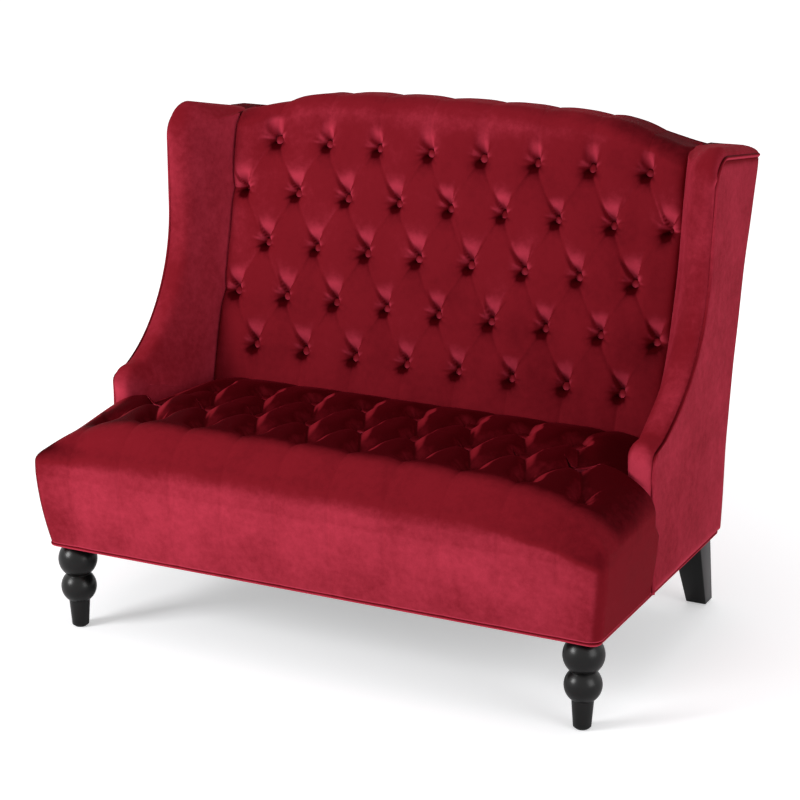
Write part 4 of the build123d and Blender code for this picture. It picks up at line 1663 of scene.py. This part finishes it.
    def wall_relief(self, x: float, z: float) -> float:
        """How far the pleated front lies under its fullest surface.

        Args:
            x: A place across.
            z: Its height.

        Returns:
            The depth there.
        """
        last = (self.tufting.counts[0] - 1) / 2
        nearest = round(x / self.tufting.spacing - 0.5) + 0.5
        off = abs(x - max(-last, min(last, nearest)) * self.tufting.spacing)
        crease = self.crease_depth * math.exp(-((off / self.crease_width) ** self.crease_edge))
        fold = self.fold_depth * math.exp(-((off / self.fold_width) ** 2))
        foot = self.wall_pleat_foot
        return (crease + fold) * (foot + (1 - foot) * ramp(z, *self.wall_pleat_zone))

    def walls(self, bm: bmesh.types.BMesh) -> None:
        """Draws the rim down into the walls, which flare in at the front and tuck in behind the arms.

        Args:
            bm: The seat's top.
        """
        lay = self.layout
        share = 1 / self.wall_steps
        rim = rim_edges(bm)
        for step in range(self.wall_steps):
            made = bmesh.ops.extrude_edge_only(bm, edges=rim)
            rim = [item for item in made["geom"] if isinstance(item, bmesh.types.BMEdge) and item.is_boundary]
            flare = share * (self.flare_start + self.flare_gain * (step + 0.5) * share)
            for vert in {vert for edge in rim for vert in edge.verts}:
                place = vert.co / MM
                ahead = place.y < self.nose_y - 1 or abs(place.x) > self.outer_x
                low = lay.skirt if ahead else self.deck
                vert.co.z = (self.rim + (low - self.rim) * (step + 1) * share) * MM
                if not ahead:
                    continue
                vert.co.x -= self.side_flare * flare * place.x / lay.half_width * MM
                vert.co.y += self.front_flare * flare * ramp(-place.y, *self.front_flare_zone) * MM
                if step < self.tuck_steps:
                    vert.co.y += self.tuck_step * ramp(place.y - self.nose_y, *self.tuck_zone) * MM

    def relieve_walls(self, bm: bmesh.types.BMesh) -> None:
        """Presses the pleats into the front wall.

        Args:
            bm: The seat with its walls.
        """
        wall_end = self.layout.front + self.wall_top
        for vert in bm.verts:
            place = vert.co / MM
            if place.z < self.tuft_zone[1] and place.y < wall_end:
                share = 1 - ramp(place.z, *self.tuft_zone)
                facing = ramp(wall_end - place.y, 0.0, self.wall_turn)
                vert.co.y += self.wall_relief(place.x, place.z) * share * facing * MM

    def under_frame(self, place: Vector) -> Vector:
        """Where a corner of the walls' foot goes under the frame, in metres."""
        half = min(abs(place.x), self.under_half * MM)
        return Vector((math.copysign(half, place.x), max(place.y, self.under_front * MM), place.z))

    def up_to_deck(self, place: Vector) -> Vector:
        """Where a corner of that turned-in edge goes on the deck, in metres."""
        return Vector((place.x, place.y, self.deck * MM))

    def build(self) -> None:
        """Makes the seat, its buttons and the twine that ties them down."""
        bm = grid_mesh(self.columns, self.rows, self.surface)
        self.walls(bm)
        self.relieve_walls(bm)
        wall_round(bm, self.under_frame)
        close_behind(bm, self.up_to_deck)
        pad = new_piece("seat_pad", bm, self.finishes.velvet)
        lay_nap_and_shade(pad, self.nap_and_shade)
        dress(pad, "seat_cushion")
        caps = bmesh.new()
        draw = np.random.default_rng(self.button_seed)
        for x, y in self.tufting.buttons():
            place = Vector((x, y, self.top_height(x, y) - self.tufting.sink + self.button_lift)) * MM
            turn = draw.normal(0, self.button_tilt)
            facing = Vector((turn, draw.normal(0, self.button_tilt) - self.button_droop, 1))
            self.button.add_to(caps, place, facing.normalized())
        dress(new_piece("seat_covered_buttons", caps, self.finishes.velvet), "seat_buttons")
        dress(self.ties(), "seat_button_twine")

    def ties(self) -> bpy.types.Object:
        """Makes the twine that pulls each seat button down to the deck.

        Returns:
            The twine.
        """
        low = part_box("seat_button_twine")[0].z
        radius = self.tie_radius * MM
        bm = bmesh.new()
        for x, y in self.tufting.buttons():
            high = (self.top_height(x, y) - self.tufting.sink - 1.0) * MM
            made = bmesh.ops.create_cone(
                bm, cap_ends=True, segments=self.tie_faces, radius1=radius, radius2=radius, depth=high - low
            )
            bmesh.ops.translate(bm, vec=(x * MM, y * MM, (high + low) / 2), verts=made["verts"])
        return new_piece("seat_ties", bm, self.finishes.twine)

    def nap_and_shade(self, places: np.ndarray, normals: np.ndarray) -> np.ndarray:
        """The painted shade on the seat: dark on top, with a drifting painted shade edge along the front.

        Args:
            places: Where to look.
            normals: The seat's normals there.

        Returns:
            The lie at each place.
        """
        x, y, z = places[:, 0], places[:, 1], places[:, 2]
        raised = np.maximum(normals[:, 2], 0)
        forward = np.maximum(-normals[:, 1], 0)
        frontal = self.front_facing.at(-normals[:, 1])
        border = self.border_shade.at(np.abs(x)) * frontal
        # Painted highlight on top faces turned to the left, behind the front.
        facet_light = self.left_facet_light.at(-normals[:, 0]) * self.facet_light_end.at(-y)
        shade_shift = (self.side_facing.at(np.abs(normals[:, 0])) + border) * (1 - raised)
        shade_shift += self.darker_low.at(z) * frontal + raised * (self.top_shade_shift - self.forward_light * forward - facet_light)
        # Painted shade edge along the front: above it the rounding takes one mid tone instead of its facing
        # shade.
        limit = np.interp(x, self.shade_places, self.shade_heights) + self.shade_drift.at(x, y)
        shaded = self.shade_edge.at(z - limit) * self.shade_front.at(-y)
        rounding = self.nose_zone.at(self.nose_drift.at(x, y) - y) * shaded
        shade_amount = self.rounding_shade + border + self.right_shade.at(x) - normals[:, 2]
        return shade_shift * (1 - rounding) + shade_amount * rounding


@dataclass(frozen=True)
class Stations:
    """Shares of the wing's line, which runs from 0 at the arm's foot to 1 at the rear."""

    nose: float
    bend: float
    rise: float
    brow: float
    top: float


@dataclass(frozen=True)
class WingShade:
    """How much painted shade a wing takes, a negative amount being lighter: on the front of its upper and its
    lower part, and all over.
    """

    upper_front: float
    lower_front: float
    all_over: float


@dataclass
class Wing:
    """One wing and arm: its pad, its outer panel and its piping, in millimetres."""

    layout: Layout
    finishes: Finishes
    side: Side
    stations: Stations = field(init=False)
    marks: tuple[Place, ...] = ((-116, 458), (60, 540), (130, 650), (141, 912), (190, 959))
    roll_share: float = 0.46
    roll_sizes: tuple[float, ...] = (12, 17, 24, 15, 15, 13, 13, 17, 23)
    rear_roll: dict[Side, float] = field(default_factory=lambda: {Side.LEFT: 11.0, Side.RIGHT: 18.0})
    inner_sizes: tuple[float, ...] = (40, 40, 44, 36, 10, 2)
    skews: tuple[float, ...] = (0, 0, 0.45, 0.5, 0.3, 0.1)
    face_heights: tuple[float, ...] = (430, 600, 775, 950)
    face_places: tuple[float, ...] = (527, 531, 533, 536)
    dome_places: tuple[float, ...] = (560, 534, 508, 505)
    outer_drop: float = 3.0
    outer_fullness: float = 0.72
    inner_fullness: float = 0.95
    face_swell: float = 5.0
    face_roundness: float = 0.8
    seam_depth: float = 16.0
    seam_rear: float = 394.0
    seam_turn: float = 0.01
    under_crest: float = 2.0
    seam_heights: tuple[float, ...] = (230.0, 380.0, 520.0, 640.0)
    seam_drops: tuple[float, ...] = (40.0, 4.0, 0.0)
    roll_knots: tuple[float, ...] = (-0.03, 0.01, 0.05)
    brow_lead: float = 0.1
    inner_lead: float = 0.05
    skew_lead: float = 0.14
    dome_share: float = 0.9
    pucker: float = 3.0
    pucker_middle: Place = (0.05, 0.012)
    pucker_size: Place = (0.07, 0.006)
    stuffing: Unevenness = Unevenness(1.2, 170.0, 31)
    stuffed: Zone = Zone(0.03, 0.12)
    easing_turns: int = 140
    easing: float = 0.5
    fold_past_roll: float = 0.04
    fold_size: float = 0.2
    corner_past_brow: float = 0.015
    corner_size: float = 0.04
    corner_face: Zone = Zone(0.3, 0.5)
    # Painted shade and light on the pad: painted light on faces that look up, side faces darker low down, and
    # its front and the whole pad darker or lighter by side, with the amounts for each side in lies.
    top_shade_shift: float = -0.66
    front_facing: Zone = Zone(0.2, 0.9)
    side_facing: Zone = Zone(0.3, 0.9, 0.11)
    lower_part: Zone = Zone(640.0, 500.0)
    lies: dict[Side, WingShade] = field(
        default_factory=lambda: {
            Side.LEFT: WingShade(0.16, 0.0, -0.07),
            Side.RIGHT: WingShade(0.13, -0.24, -0.03),
        }
    )
    pad_back: float = 566.0
    panel_thickness: float = 4.0
    panel_edge_turn: float = 4.0
    panel_edge_width: float = 5.0
    panel_span: Place = (300.0, 740.0)
    panel_cells: tuple[int, int] = (60, 120)
    panel_stuffing: Unevenness = Unevenness(1.0, 260.0, 41)
    piping_radius: float = 3.5
    piping_out: float = 2.0
    piping_end: float = 389.0
    piping_step: float = 5.0
    columns: int = 110
    rows: int = 260

    def __post_init__(self) -> None:
        """Finds the stations of the wing's line."""
        path = self.layout.wing_path(0.0, self.piping_step)
        lengths = run_lengths(path)
        nearest = [np.argmin(np.linalg.norm(path - np.array(mark), axis=1)) for mark in self.marks]
        self.stations = Stations(*(float(lengths[place] / lengths[-1]) for place in nearest))

    def seam(self, share: np.ndarray) -> np.ndarray:
        """Where the pad's inner face ends.

        Args:
            share: Shares of the wing's line.

        Returns:
            The places.
        """
        lay = self.layout
        at = self.stations
        top = float(lay.crest_height(lay.seam_x)) - self.under_crest
        knots = [0.0, at.nose, at.bend, at.rise, at.brow, at.top, 1.0]
        z = np.interp(share, knots, [*self.seam_heights, *(top - drop for drop in self.seam_drops)])
        y = lay.back_y(z, lay.pillow - self.seam_depth + lay.side_swell(z))
        late = smooth_step(share, at.top - self.seam_turn, 1.0)
        y = y * (1 - late) + self.seam_rear * late
        z = np.minimum(z, lay.crest_top(lay.seam_x, y) - self.under_crest)
        return np.stack([np.full_like(z, lay.seam_x + 1.0), y, z], axis=-1)

    def roll_size(self, share: np.ndarray) -> np.ndarray:
        """How far the pad stands out over the wing's line.

        Args:
            share: Shares of that line.

        Returns:
            The height at each share.
        """
        at = self.stations
        nose = [at.nose + knot for knot in self.roll_knots]
        knots = [0, *nose, at.bend, at.rise, at.brow - self.brow_lead, at.brow, at.top, 1.0]
        return np.interp(share, knots, [*self.roll_sizes, self.rear_roll[self.side]])

    def face_x(self, share: np.ndarray, height: np.ndarray) -> np.ndarray:
        """X where the pad's inner face starts, which draws in to a dome at the top.

        Args:
            share: Shares of the wing's line.
            height: The line's height there.

        Returns:
            X at each share.
        """
        face = np.interp(height, self.face_heights, self.face_places)
        dome = np.interp(share, [0, self.stations.top, self.dome_share, 1.0], self.dome_places)
        return np.minimum(face, dome)

    def surface(self, across: np.ndarray, up: np.ndarray) -> np.ndarray:
        """The pad, from the piping across its roll and in to the back seam.

        Args:
            across: Shares across it.
            up: Shares of the wing's line.

        Returns:
            Its places.
        """
        at = self.stations
        share = up[:, 0]
        line = along(self.layout.wing_path(0.0, 3.0), share)
        normal = left_normals(line)
        crown = self.roll_size(share)
        late = [at.brow, at.top, self.dome_share, 1.0]
        inner = np.interp(share, [0, at.brow - self.inner_lead, *late], self.inner_sizes)
        skew = np.interp(share, [0, at.brow - self.skew_lead, *late], self.skews)
        outer_x = self.layout.side_face(line[:, 0], line[:, 1]) - 1.0
        inner_x = self.face_x(share, line[:, 1])
        middle = (outer_x + inner_x) / 2 + skew * (outer_x - inner_x) / 2
        turn = np.clip(across / self.roll_share, 0, 1) * math.pi
        outward = turn < math.pi / 2
        drop = np.where(outward, crown[:, None] + self.outer_drop, inner[:, None])
        swell = np.abs(np.sin(turn)) ** np.where(outward, self.outer_fullness, self.inner_fullness)
        height = crown[:, None] - drop * (1 - swell)
        half = np.where(outward, (outer_x - middle)[:, None], (middle - inner_x)[:, None])
        x = middle[:, None] + half * np.cos(turn)
        y, z = (line[:, i : i + 1] + normal[:, i : i + 1] * height for i in range(2))
        roll = np.stack([x, y, z], axis=-1)
        inward = np.clip((across - self.roll_share) / (1 - self.roll_share), 0, 1)
        start = np.column_stack([inner_x, line + normal * (crown - inner)[:, None]])
        face = start[:, None, :] * (1 - inward[..., None]) + self.seam(share)[:, None, :] * inward[..., None]
        face[..., 0] -= self.face_swell * np.sin(math.pi * inward) ** self.face_roundness
        spread = self.eased(np.where((across <= self.roll_share)[..., None], roll, face), across, up)
        beside = (across - self.pucker_middle[0]) / self.pucker_size[0]
        beyond = (up - at.brow - self.pucker_middle[1]) / self.pucker_size[1]
        gathered = self.pucker * np.exp(-(beside**2)) * np.exp(-(beyond**2))
        uneven = self.stuffing.at(spread[..., 1], spread[..., 2], self.side.value)
        return pressed(spread, uneven * self.stuffed.at(across) + gathered)

    def eased(self, places: np.ndarray, across: np.ndarray, up: np.ndarray) -> np.ndarray:
        """Rounds the change from the roll to the inner face, and the top corner.

        Args:
            places: The pad's places.
            across: Shares across the pad.
            up: Shares of the wing's line.

        Returns:
            The rounded places.
        """
        from_fold = (across - self.roll_share - self.fold_past_roll) / self.fold_size
        from_corner = (up - self.stations.brow - self.corner_past_brow) / self.corner_size
        folding = self.easing * np.exp(-(from_fold**4))
        turning = self.easing * np.exp(-(from_corner**4)) * self.corner_face.at(across)
        for _ in range(self.easing_turns):
            middle = places[:, 1:-1]
            mean = (places[:, :-2] + places[:, 2:]) / 2
            places[:, 1:-1] = middle + (mean - middle) * folding[:, 1:-1, None]
            middle = places[1:-1]
            mean = (places[:-2] + places[2:]) / 2
            places[1:-1] = middle + (mean - middle) * turning[1:-1, :, None]
        return places

    def nap_and_shade(self, places: np.ndarray, normals: np.ndarray) -> np.ndarray:
        """The painted shade on the pad: painted light over its top, darker or lighter along its front.

        Args:
            places: Where to look.
            normals: The pad's normals there.

        Returns:
            The lie at each place.
        """
        own = self.lies[self.side]
        low = self.lower_part.at(places[:, 2])
        shade_shift = self.top_shade_shift * np.maximum(normals[:, 2], 0) + low * self.side_facing.at(np.abs(normals[:, 0]))
        front = own.upper_front * (1 - low) + own.lower_front * low
        return shade_shift + front * self.front_facing.at(-normals[:, 1]) + own.all_over

    def panel(self, across: np.ndarray, up: np.ndarray) -> np.ndarray:
        """The flat outer cover, from its rear edge to the piping.

        Args:
            across: Shares across it.
            up: Shares up it.

        Returns:
            Its places.
        """
        lay = self.layout
        front = lay.wing_path(0.0, 2.0)
        top_corner = int(np.argmax(front[:, 1]))
        rise = front[: top_corner + 1]
        full = rise[-1, 1] - lay.skirt
        rear = lay.rear_path()
        height = lay.skirt + up * full
        first = np.interp(height, rise[:, 1], rise[:, 0])
        last = np.interp(height, rear[:, 1], rear[:, 0]) - 2.0
        y = last + (first - last) * across
        slope = np.interp(y, front[top_corner:, 0], front[top_corner:, 1], left=rise[-1, 1])
        z = lay.skirt + (height - lay.skirt) * (slope - lay.skirt) / full
        wide, tall = self.panel_span
        rim = np.minimum(np.minimum(across, 1 - across) * wide, np.minimum(up, 1 - up) * tall)
        turned = self.panel_edge_turn * np.exp(-((rim / self.panel_edge_width) ** 2))
        x = lay.side_face(y, z) + 1.0 - turned + self.panel_stuffing.at(y, z, self.side.value)
        return np.stack([x, y, z], axis=-1)

    def build(self) -> None:
        """Makes the pad, the outer panel and the piping."""
        word = self.side.word
        velvet = self.finishes.velvet
        bm = grid_mesh(self.columns, self.rows, self.surface)
        close_behind(bm, lambda place: Vector((self.pad_back * MM, place.y, place.z)))
        pad = new_piece(f"wing_cushion_{word}", mirrored(bm, self.side), velvet)
        lay_nap_and_shade(pad, self.nap_and_shade)
        dress(pad, f"wing_pad_{word}")

        bm = grid_mesh(*self.panel_cells, self.panel)
        thicken(bm, Vector((-self.panel_thickness * MM, 0, 0)))
        panel = new_piece(f"side_panel_{word}", mirrored(bm, self.side), velvet)
        dress(panel, f"outside_side_cover_{word}")

        path = self.layout.wing_path(self.piping_out, self.piping_step)
        y, z = path[path[:, 0] < self.piping_end].T
        x = (self.layout.side_face(y, z) + 0.5) * self.side.value
        welt = piping(f"side_piping_{word}", np.stack([x, y, z], axis=1), self.piping_radius, False, velvet)
        dress(welt, f"side_welt_{word}")


@dataclass
class OuterBack:
    """The plain panel behind the back, and the piping round the foot, in millimetres."""

    layout: Layout
    finishes: Finishes
    panel_thickness: float = 8.0
    below_crest: float = 12.0
    end_height: float = 933.0
    end_x: float = 590.0
    end_slope: float = 0.9
    edge_turn: float = 4.0
    edge_width: float = 6.0
    span: Place = (1170.0, 780.0)
    cells: tuple[int, int] = (150, 110)
    stuffing: Unevenness = Unevenness(1.2, 300.0, 51)
    piping_radius: float = 4.0
    piping_corner: float = 14.0
    piping_step: float = 6.0

    def surface(self, across: np.ndarray, up: np.ndarray) -> np.ndarray:
        """The outside of the back.

        Args:
            across: Shares from side to side.
            up: Shares from the foot up.

        Returns:
            Its places.
        """
        lay = self.layout
        x = (1 - across * 2) * (lay.base_half - 1)
        ends = self.end_height + (self.end_x - np.abs(x)) * self.end_slope
        top = np.minimum(lay.crest_height(x) - self.below_crest, ends)
        z = lay.skirt + up * (top - lay.skirt)
        rear = lay.rear_path()
        rim = np.minimum(np.minimum(across, 1 - across) * self.span[0], (1 - up) * self.span[1])
        turned = self.edge_turn * np.exp(-((rim / self.edge_width) ** 2))
        uneven = self.stuffing.at(x, z) - self.stuffing.height
        y = np.interp(z, rear[:, 1], rear[:, 0]) - turned + uneven
        return np.stack([x, y, z], axis=-1)

    def build(self) -> None:
        """Makes the panel and the piping."""
        bm = grid_mesh(*self.cells, self.surface)
        thicken(bm, Vector((0, -self.panel_thickness * MM, 0)))
        dress(new_piece("outer_back_panel", bm, self.finishes.velvet), "outside_back_cover")

        low, high = (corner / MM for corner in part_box("base_welt"))
        radius = self.piping_radius
        half = high.x - radius
        front, rear = low.y + radius, high.y - radius
        corners = [(0, front), (half, front), (half, rear), (-half, rear), (-half, front), (0, front)]
        ring = rounded_path(corners, [self.piping_corner] * 4, self.piping_step)[:-1]
        points = np.column_stack([ring, np.full(len(ring), (low.z + high.z) / 2)])
        welt = piping("foot_piping", points, radius, True, self.finishes.velvet)
        dress(welt, "base_welt")


@dataclass
class Legs:
    """The turned front legs and the raked rear legs, in millimetres."""

    layout: Layout
    finishes: Finishes
    glide: float = 3.0
    foot_radius: float = 17.0
    foot_edge: float = 1.5
    ankle_radius: float = 21.0
    ankle_height: float = 57.0
    lower_ball: Place = (35.5, 85.6)
    neck_radius: float = 24.0
    neck_height: float = 112.4
    upper_ball: Place = (39.0, 143.9)
    throat_radius: float = 27.0
    collar_radius: float = 29.0
    collar_low: float = 172.4
    collar_edge: float = 1.0
    collar_start: float = 28.2
    collar_top: float = 178.8
    ball_steps: int = 14
    round_steps: int = 64
    rear_top_width: float = 62.0
    rear_top_depth: float = 66.0
    rear_top_y: float = 217.0
    rear_foot_width: float = 43.0
    rear_foot_depth: float = 41.0
    rear_foot_inset: float = 16.0
    arris: float = 2.2
    smooth_angle: float = math.radians(38)

    def ball_outline(self, ball: Place, low_rim: float, high_rim: float) -> list[Place]:
        """Radius and height round a ball, from a rim under it to a rim over it.

        Args:
            ball: Its radius and the height of its middle.
            low_rim: Radius of the rim under it.
            high_rim: Radius of the rim over it.

        Returns:
            The points, without the one on the lower rim.
        """
        radius, middle = ball
        angles = np.linspace(-math.acos(low_rim / radius), math.acos(high_rim / radius), self.ball_steps + 1)
        return [(radius * math.cos(angle), middle + radius * math.sin(angle)) for angle in angles[1:]]

    def turned_outline(self) -> list[Place]:
        """Radius and height of a front leg, from its foot to its top.

        Returns:
            The corners in order.
        """
        top = self.layout.leg_height
        line = [(0.0, self.glide), (self.foot_radius - self.foot_edge, self.glide)]
        line += [(self.foot_radius, self.glide + self.foot_edge), (self.ankle_radius, self.ankle_height)]
        line += self.ball_outline(self.lower_ball, self.ankle_radius, self.neck_radius)
        line.append((self.neck_radius, self.neck_height))
        line += self.ball_outline(self.upper_ball, self.neck_radius, self.throat_radius)
        collar, edge = self.collar_radius, self.collar_edge
        line += [(self.collar_start, self.collar_low), (collar, self.collar_low + edge)]
        return line + [(collar, self.collar_top), (collar - edge, top), (0.0, top)]

    def turned(self, side: Side) -> None:
        """Makes one turned front leg.

        Args:
            side: The side that it stands on.
        """
        node = f"front_leg_{side.word}"
        low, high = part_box(node)
        middle = (low + high) / 2
        bm = turned_form(self.turned_outline(), self.round_steps)
        bmesh.ops.translate(bm, vec=(middle.x, middle.y, 0), verts=bm.verts)
        leg = new_piece(f"turned_leg_{side.word}", bm, self.finishes.lacquer)
        leg.data.set_sharp_from_angle(angle=self.smooth_angle)
        dress(leg, node)

    def raked(self, side: Side) -> None:
        """Makes one raked rear leg.

        Args:
            side: The side that it stands on.
        """
        node = f"rear_leg_{side.word}"
        low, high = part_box(node)
        outer = max(abs(low.x), abs(high.x)) / MM
        foot_outer = outer - self.rear_foot_inset
        rear = high.y / MM
        top = ((outer - self.rear_top_width, outer), (self.rear_top_y, self.rear_top_y + self.rear_top_depth))
        foot = ((foot_outer - self.rear_foot_width, foot_outer), (rear - self.rear_foot_depth, rear))
        bm = bmesh.new()
        bmesh.ops.create_cube(bm, size=1.0)
        for vert in bm.verts:
            over = vert.co.z > 0
            (near_x, far_x), (near_y, far_y) = top if over else foot
            x = far_x if vert.co.x > 0 else near_x
            y = far_y if vert.co.y > 0 else near_y
            vert.co = Vector((x, y, self.layout.leg_height if over else self.glide)) * MM
        bmesh.ops.bevel(
            bm, geom=bm.edges[:], offset=self.arris * MM, segments=3, profile=0.5, affect="EDGES", material=-1
        )
        leg = new_piece(f"raked_leg_{side.word}", mirrored(bm, side), self.finishes.lacquer)
        leg.data.set_sharp_from_angle(angle=self.smooth_angle)
        dress(leg, node)

    def build(self) -> None:
        """Makes all four legs."""
        for side in Side:
            self.turned(side)
            self.raked(side)


# ---------------------------------------------------------------- studio


@dataclass(frozen=True)
class Lamp:
    """A soft square lamp, in metres and watts."""

    name: str
    place: tuple[float, float, float]
    aim: tuple[float, float, float]
    size: float
    power: float

    def build(self) -> None:
        """Hangs the lamp and points it."""
        data = bpy.data.lights.new(self.name, "AREA")
        data.shape = "SQUARE"
        data.size = self.size
        data.energy = self.power
        lamp = bpy.data.objects.new(self.name, data)
        lamp.location = self.place
        lamp.rotation_euler = (Vector(self.aim) - Vector(self.place)).to_track_quat("-Z", "Y").to_euler()
        bpy.context.scene.collection.objects.link(lamp)


@dataclass(frozen=True)
class Studio:
    """The floor, the lamps and the camera, in metres."""

    camera_place: tuple[float, float, float] = (1.91284, -3.83358, 1.7573)
    camera_turn: tuple[float, float, float] = (math.radians(73.11), 0.0, math.radians(26.41))
    lens: float = 101.5
    sensor: float = 36.0
    far: float = 100.0
    floor_reach: float = 30.0
    floor_colour: Colour = (0.86, 0.865, 0.88, 1.0)
    floor_roughness: float = 0.9
    floor_glow: Place = (0.4, 0.75)
    glow_reach: Place = (0.7, 2.6)
    ambient: float = 0.42
    lamps: tuple[Lamp, ...] = (
        Lamp("key", (-2.4, -2.9, 1.9), (0, 0, 0.5), 1.3, 110),
        Lamp("fill", (3.6, -1.2, 1.5), (0, 0, 0.5), 2.0, 45),
        Lamp("top", (0.2, 0.2, 3.8), (0, 0, 0.4), 2.6, 36),
    )

    def floor(self) -> None:
        """Lays a white floor that keeps the settee's soft shadow and whitens away from it; its glow for the
        camera is weaker near the settee, so the floor round it is painted darker, painted shade on top of its
        real shadow.
        """
        bm = bmesh.new()
        bmesh.ops.create_grid(bm, x_segments=1, y_segments=1, size=self.floor_reach)
        mesh = bpy.data.meshes.new("studio_floor")
        bm.to_mesh(mesh)
        bm.free()
        floor = bpy.data.objects.new("studio_floor", mesh)
        bpy.context.scene.collection.objects.link(floor)
        material = bpy.data.materials.new("studio_white")
        material.use_nodes = True
        tree = material.node_tree
        shader = tree.nodes["Principled BSDF"]
        shader.inputs["Base Color"].default_value = self.floor_colour
        shader.inputs["Roughness"].default_value = self.floor_roughness
        shader.inputs["Specular IOR Level"].default_value = 0.0
        shader.inputs["Emission Color"].default_value = (1, 1, 1, 1)
        path = tree.nodes.new("ShaderNodeLightPath")
        place = tree.nodes.new("ShaderNodeTexCoord").outputs["Object"]
        away = add_node(tree, "ShaderNodeVectorMath", {0: place}, operation="LENGTH").outputs["Value"]
        level = ranged(tree, away, self.floor_glow, self.glow_reach, "SMOOTHSTEP")
        glow = sum_up(tree, "MULTIPLY", path.outputs["Is Camera Ray"], level)
        tree.links.new(glow, shader.inputs["Emission Strength"])
        mesh.materials.append(material)

    def world(self) -> None:
        """Sets soft light from all round, white where the camera sees it."""
        world = bpy.data.worlds.new("studio_world")
        bpy.context.scene.world = world
        world.use_nodes = True
        tree = world.node_tree
        background = tree.nodes["Background"]
        path = tree.nodes.new("ShaderNodeLightPath").outputs
        seen = sum_up(tree, "MAXIMUM", path["Is Camera Ray"], path["Is Glossy Ray"])
        seen = sum_up(tree, "MAXIMUM", seen, path["Is Transmission Ray"])
        background.inputs["Color"].default_value = (1, 1, 1, 1)
        tree.links.new(ranged(tree, seen, (self.ambient, 1.0)), background.inputs["Strength"])

    def camera(self) -> None:
        """Sets up the camera at the photograph's angle."""
        data = bpy.data.cameras.new("camera")
        data.lens = self.lens
        data.sensor_width = self.sensor
        data.clip_end = self.far
        camera = bpy.data.objects.new("camera", data)
        camera.location = self.camera_place
        camera.rotation_euler = self.camera_turn
        bpy.context.scene.collection.objects.link(camera)
        bpy.context.scene.camera = camera

    def build(self) -> None:
        """Sets up the studio."""
        bpy.context.scene.view_settings.view_transform = "Standard"
        self.camera()
        self.floor()
        self.world()
        for lamp in self.lamps:
            lamp.build()


def main() -> None:
    """Builds the settee and its studio."""
    logging.basicConfig(level=logging.INFO, format="%(name)s: %(message)s")
    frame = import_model()
    finishes = Finishes()
    finishes.dress_frame(frame["nodes"])
    layout = Layout()
    Back(layout, finishes).build()
    Seat(layout, finishes).build()
    for side in Side:
        Wing(layout, finishes, side).build()
    OuterBack(layout, finishes).build()
    Legs(layout, finishes).build()
    Studio().build()


if __name__ == "__main__":
    main()
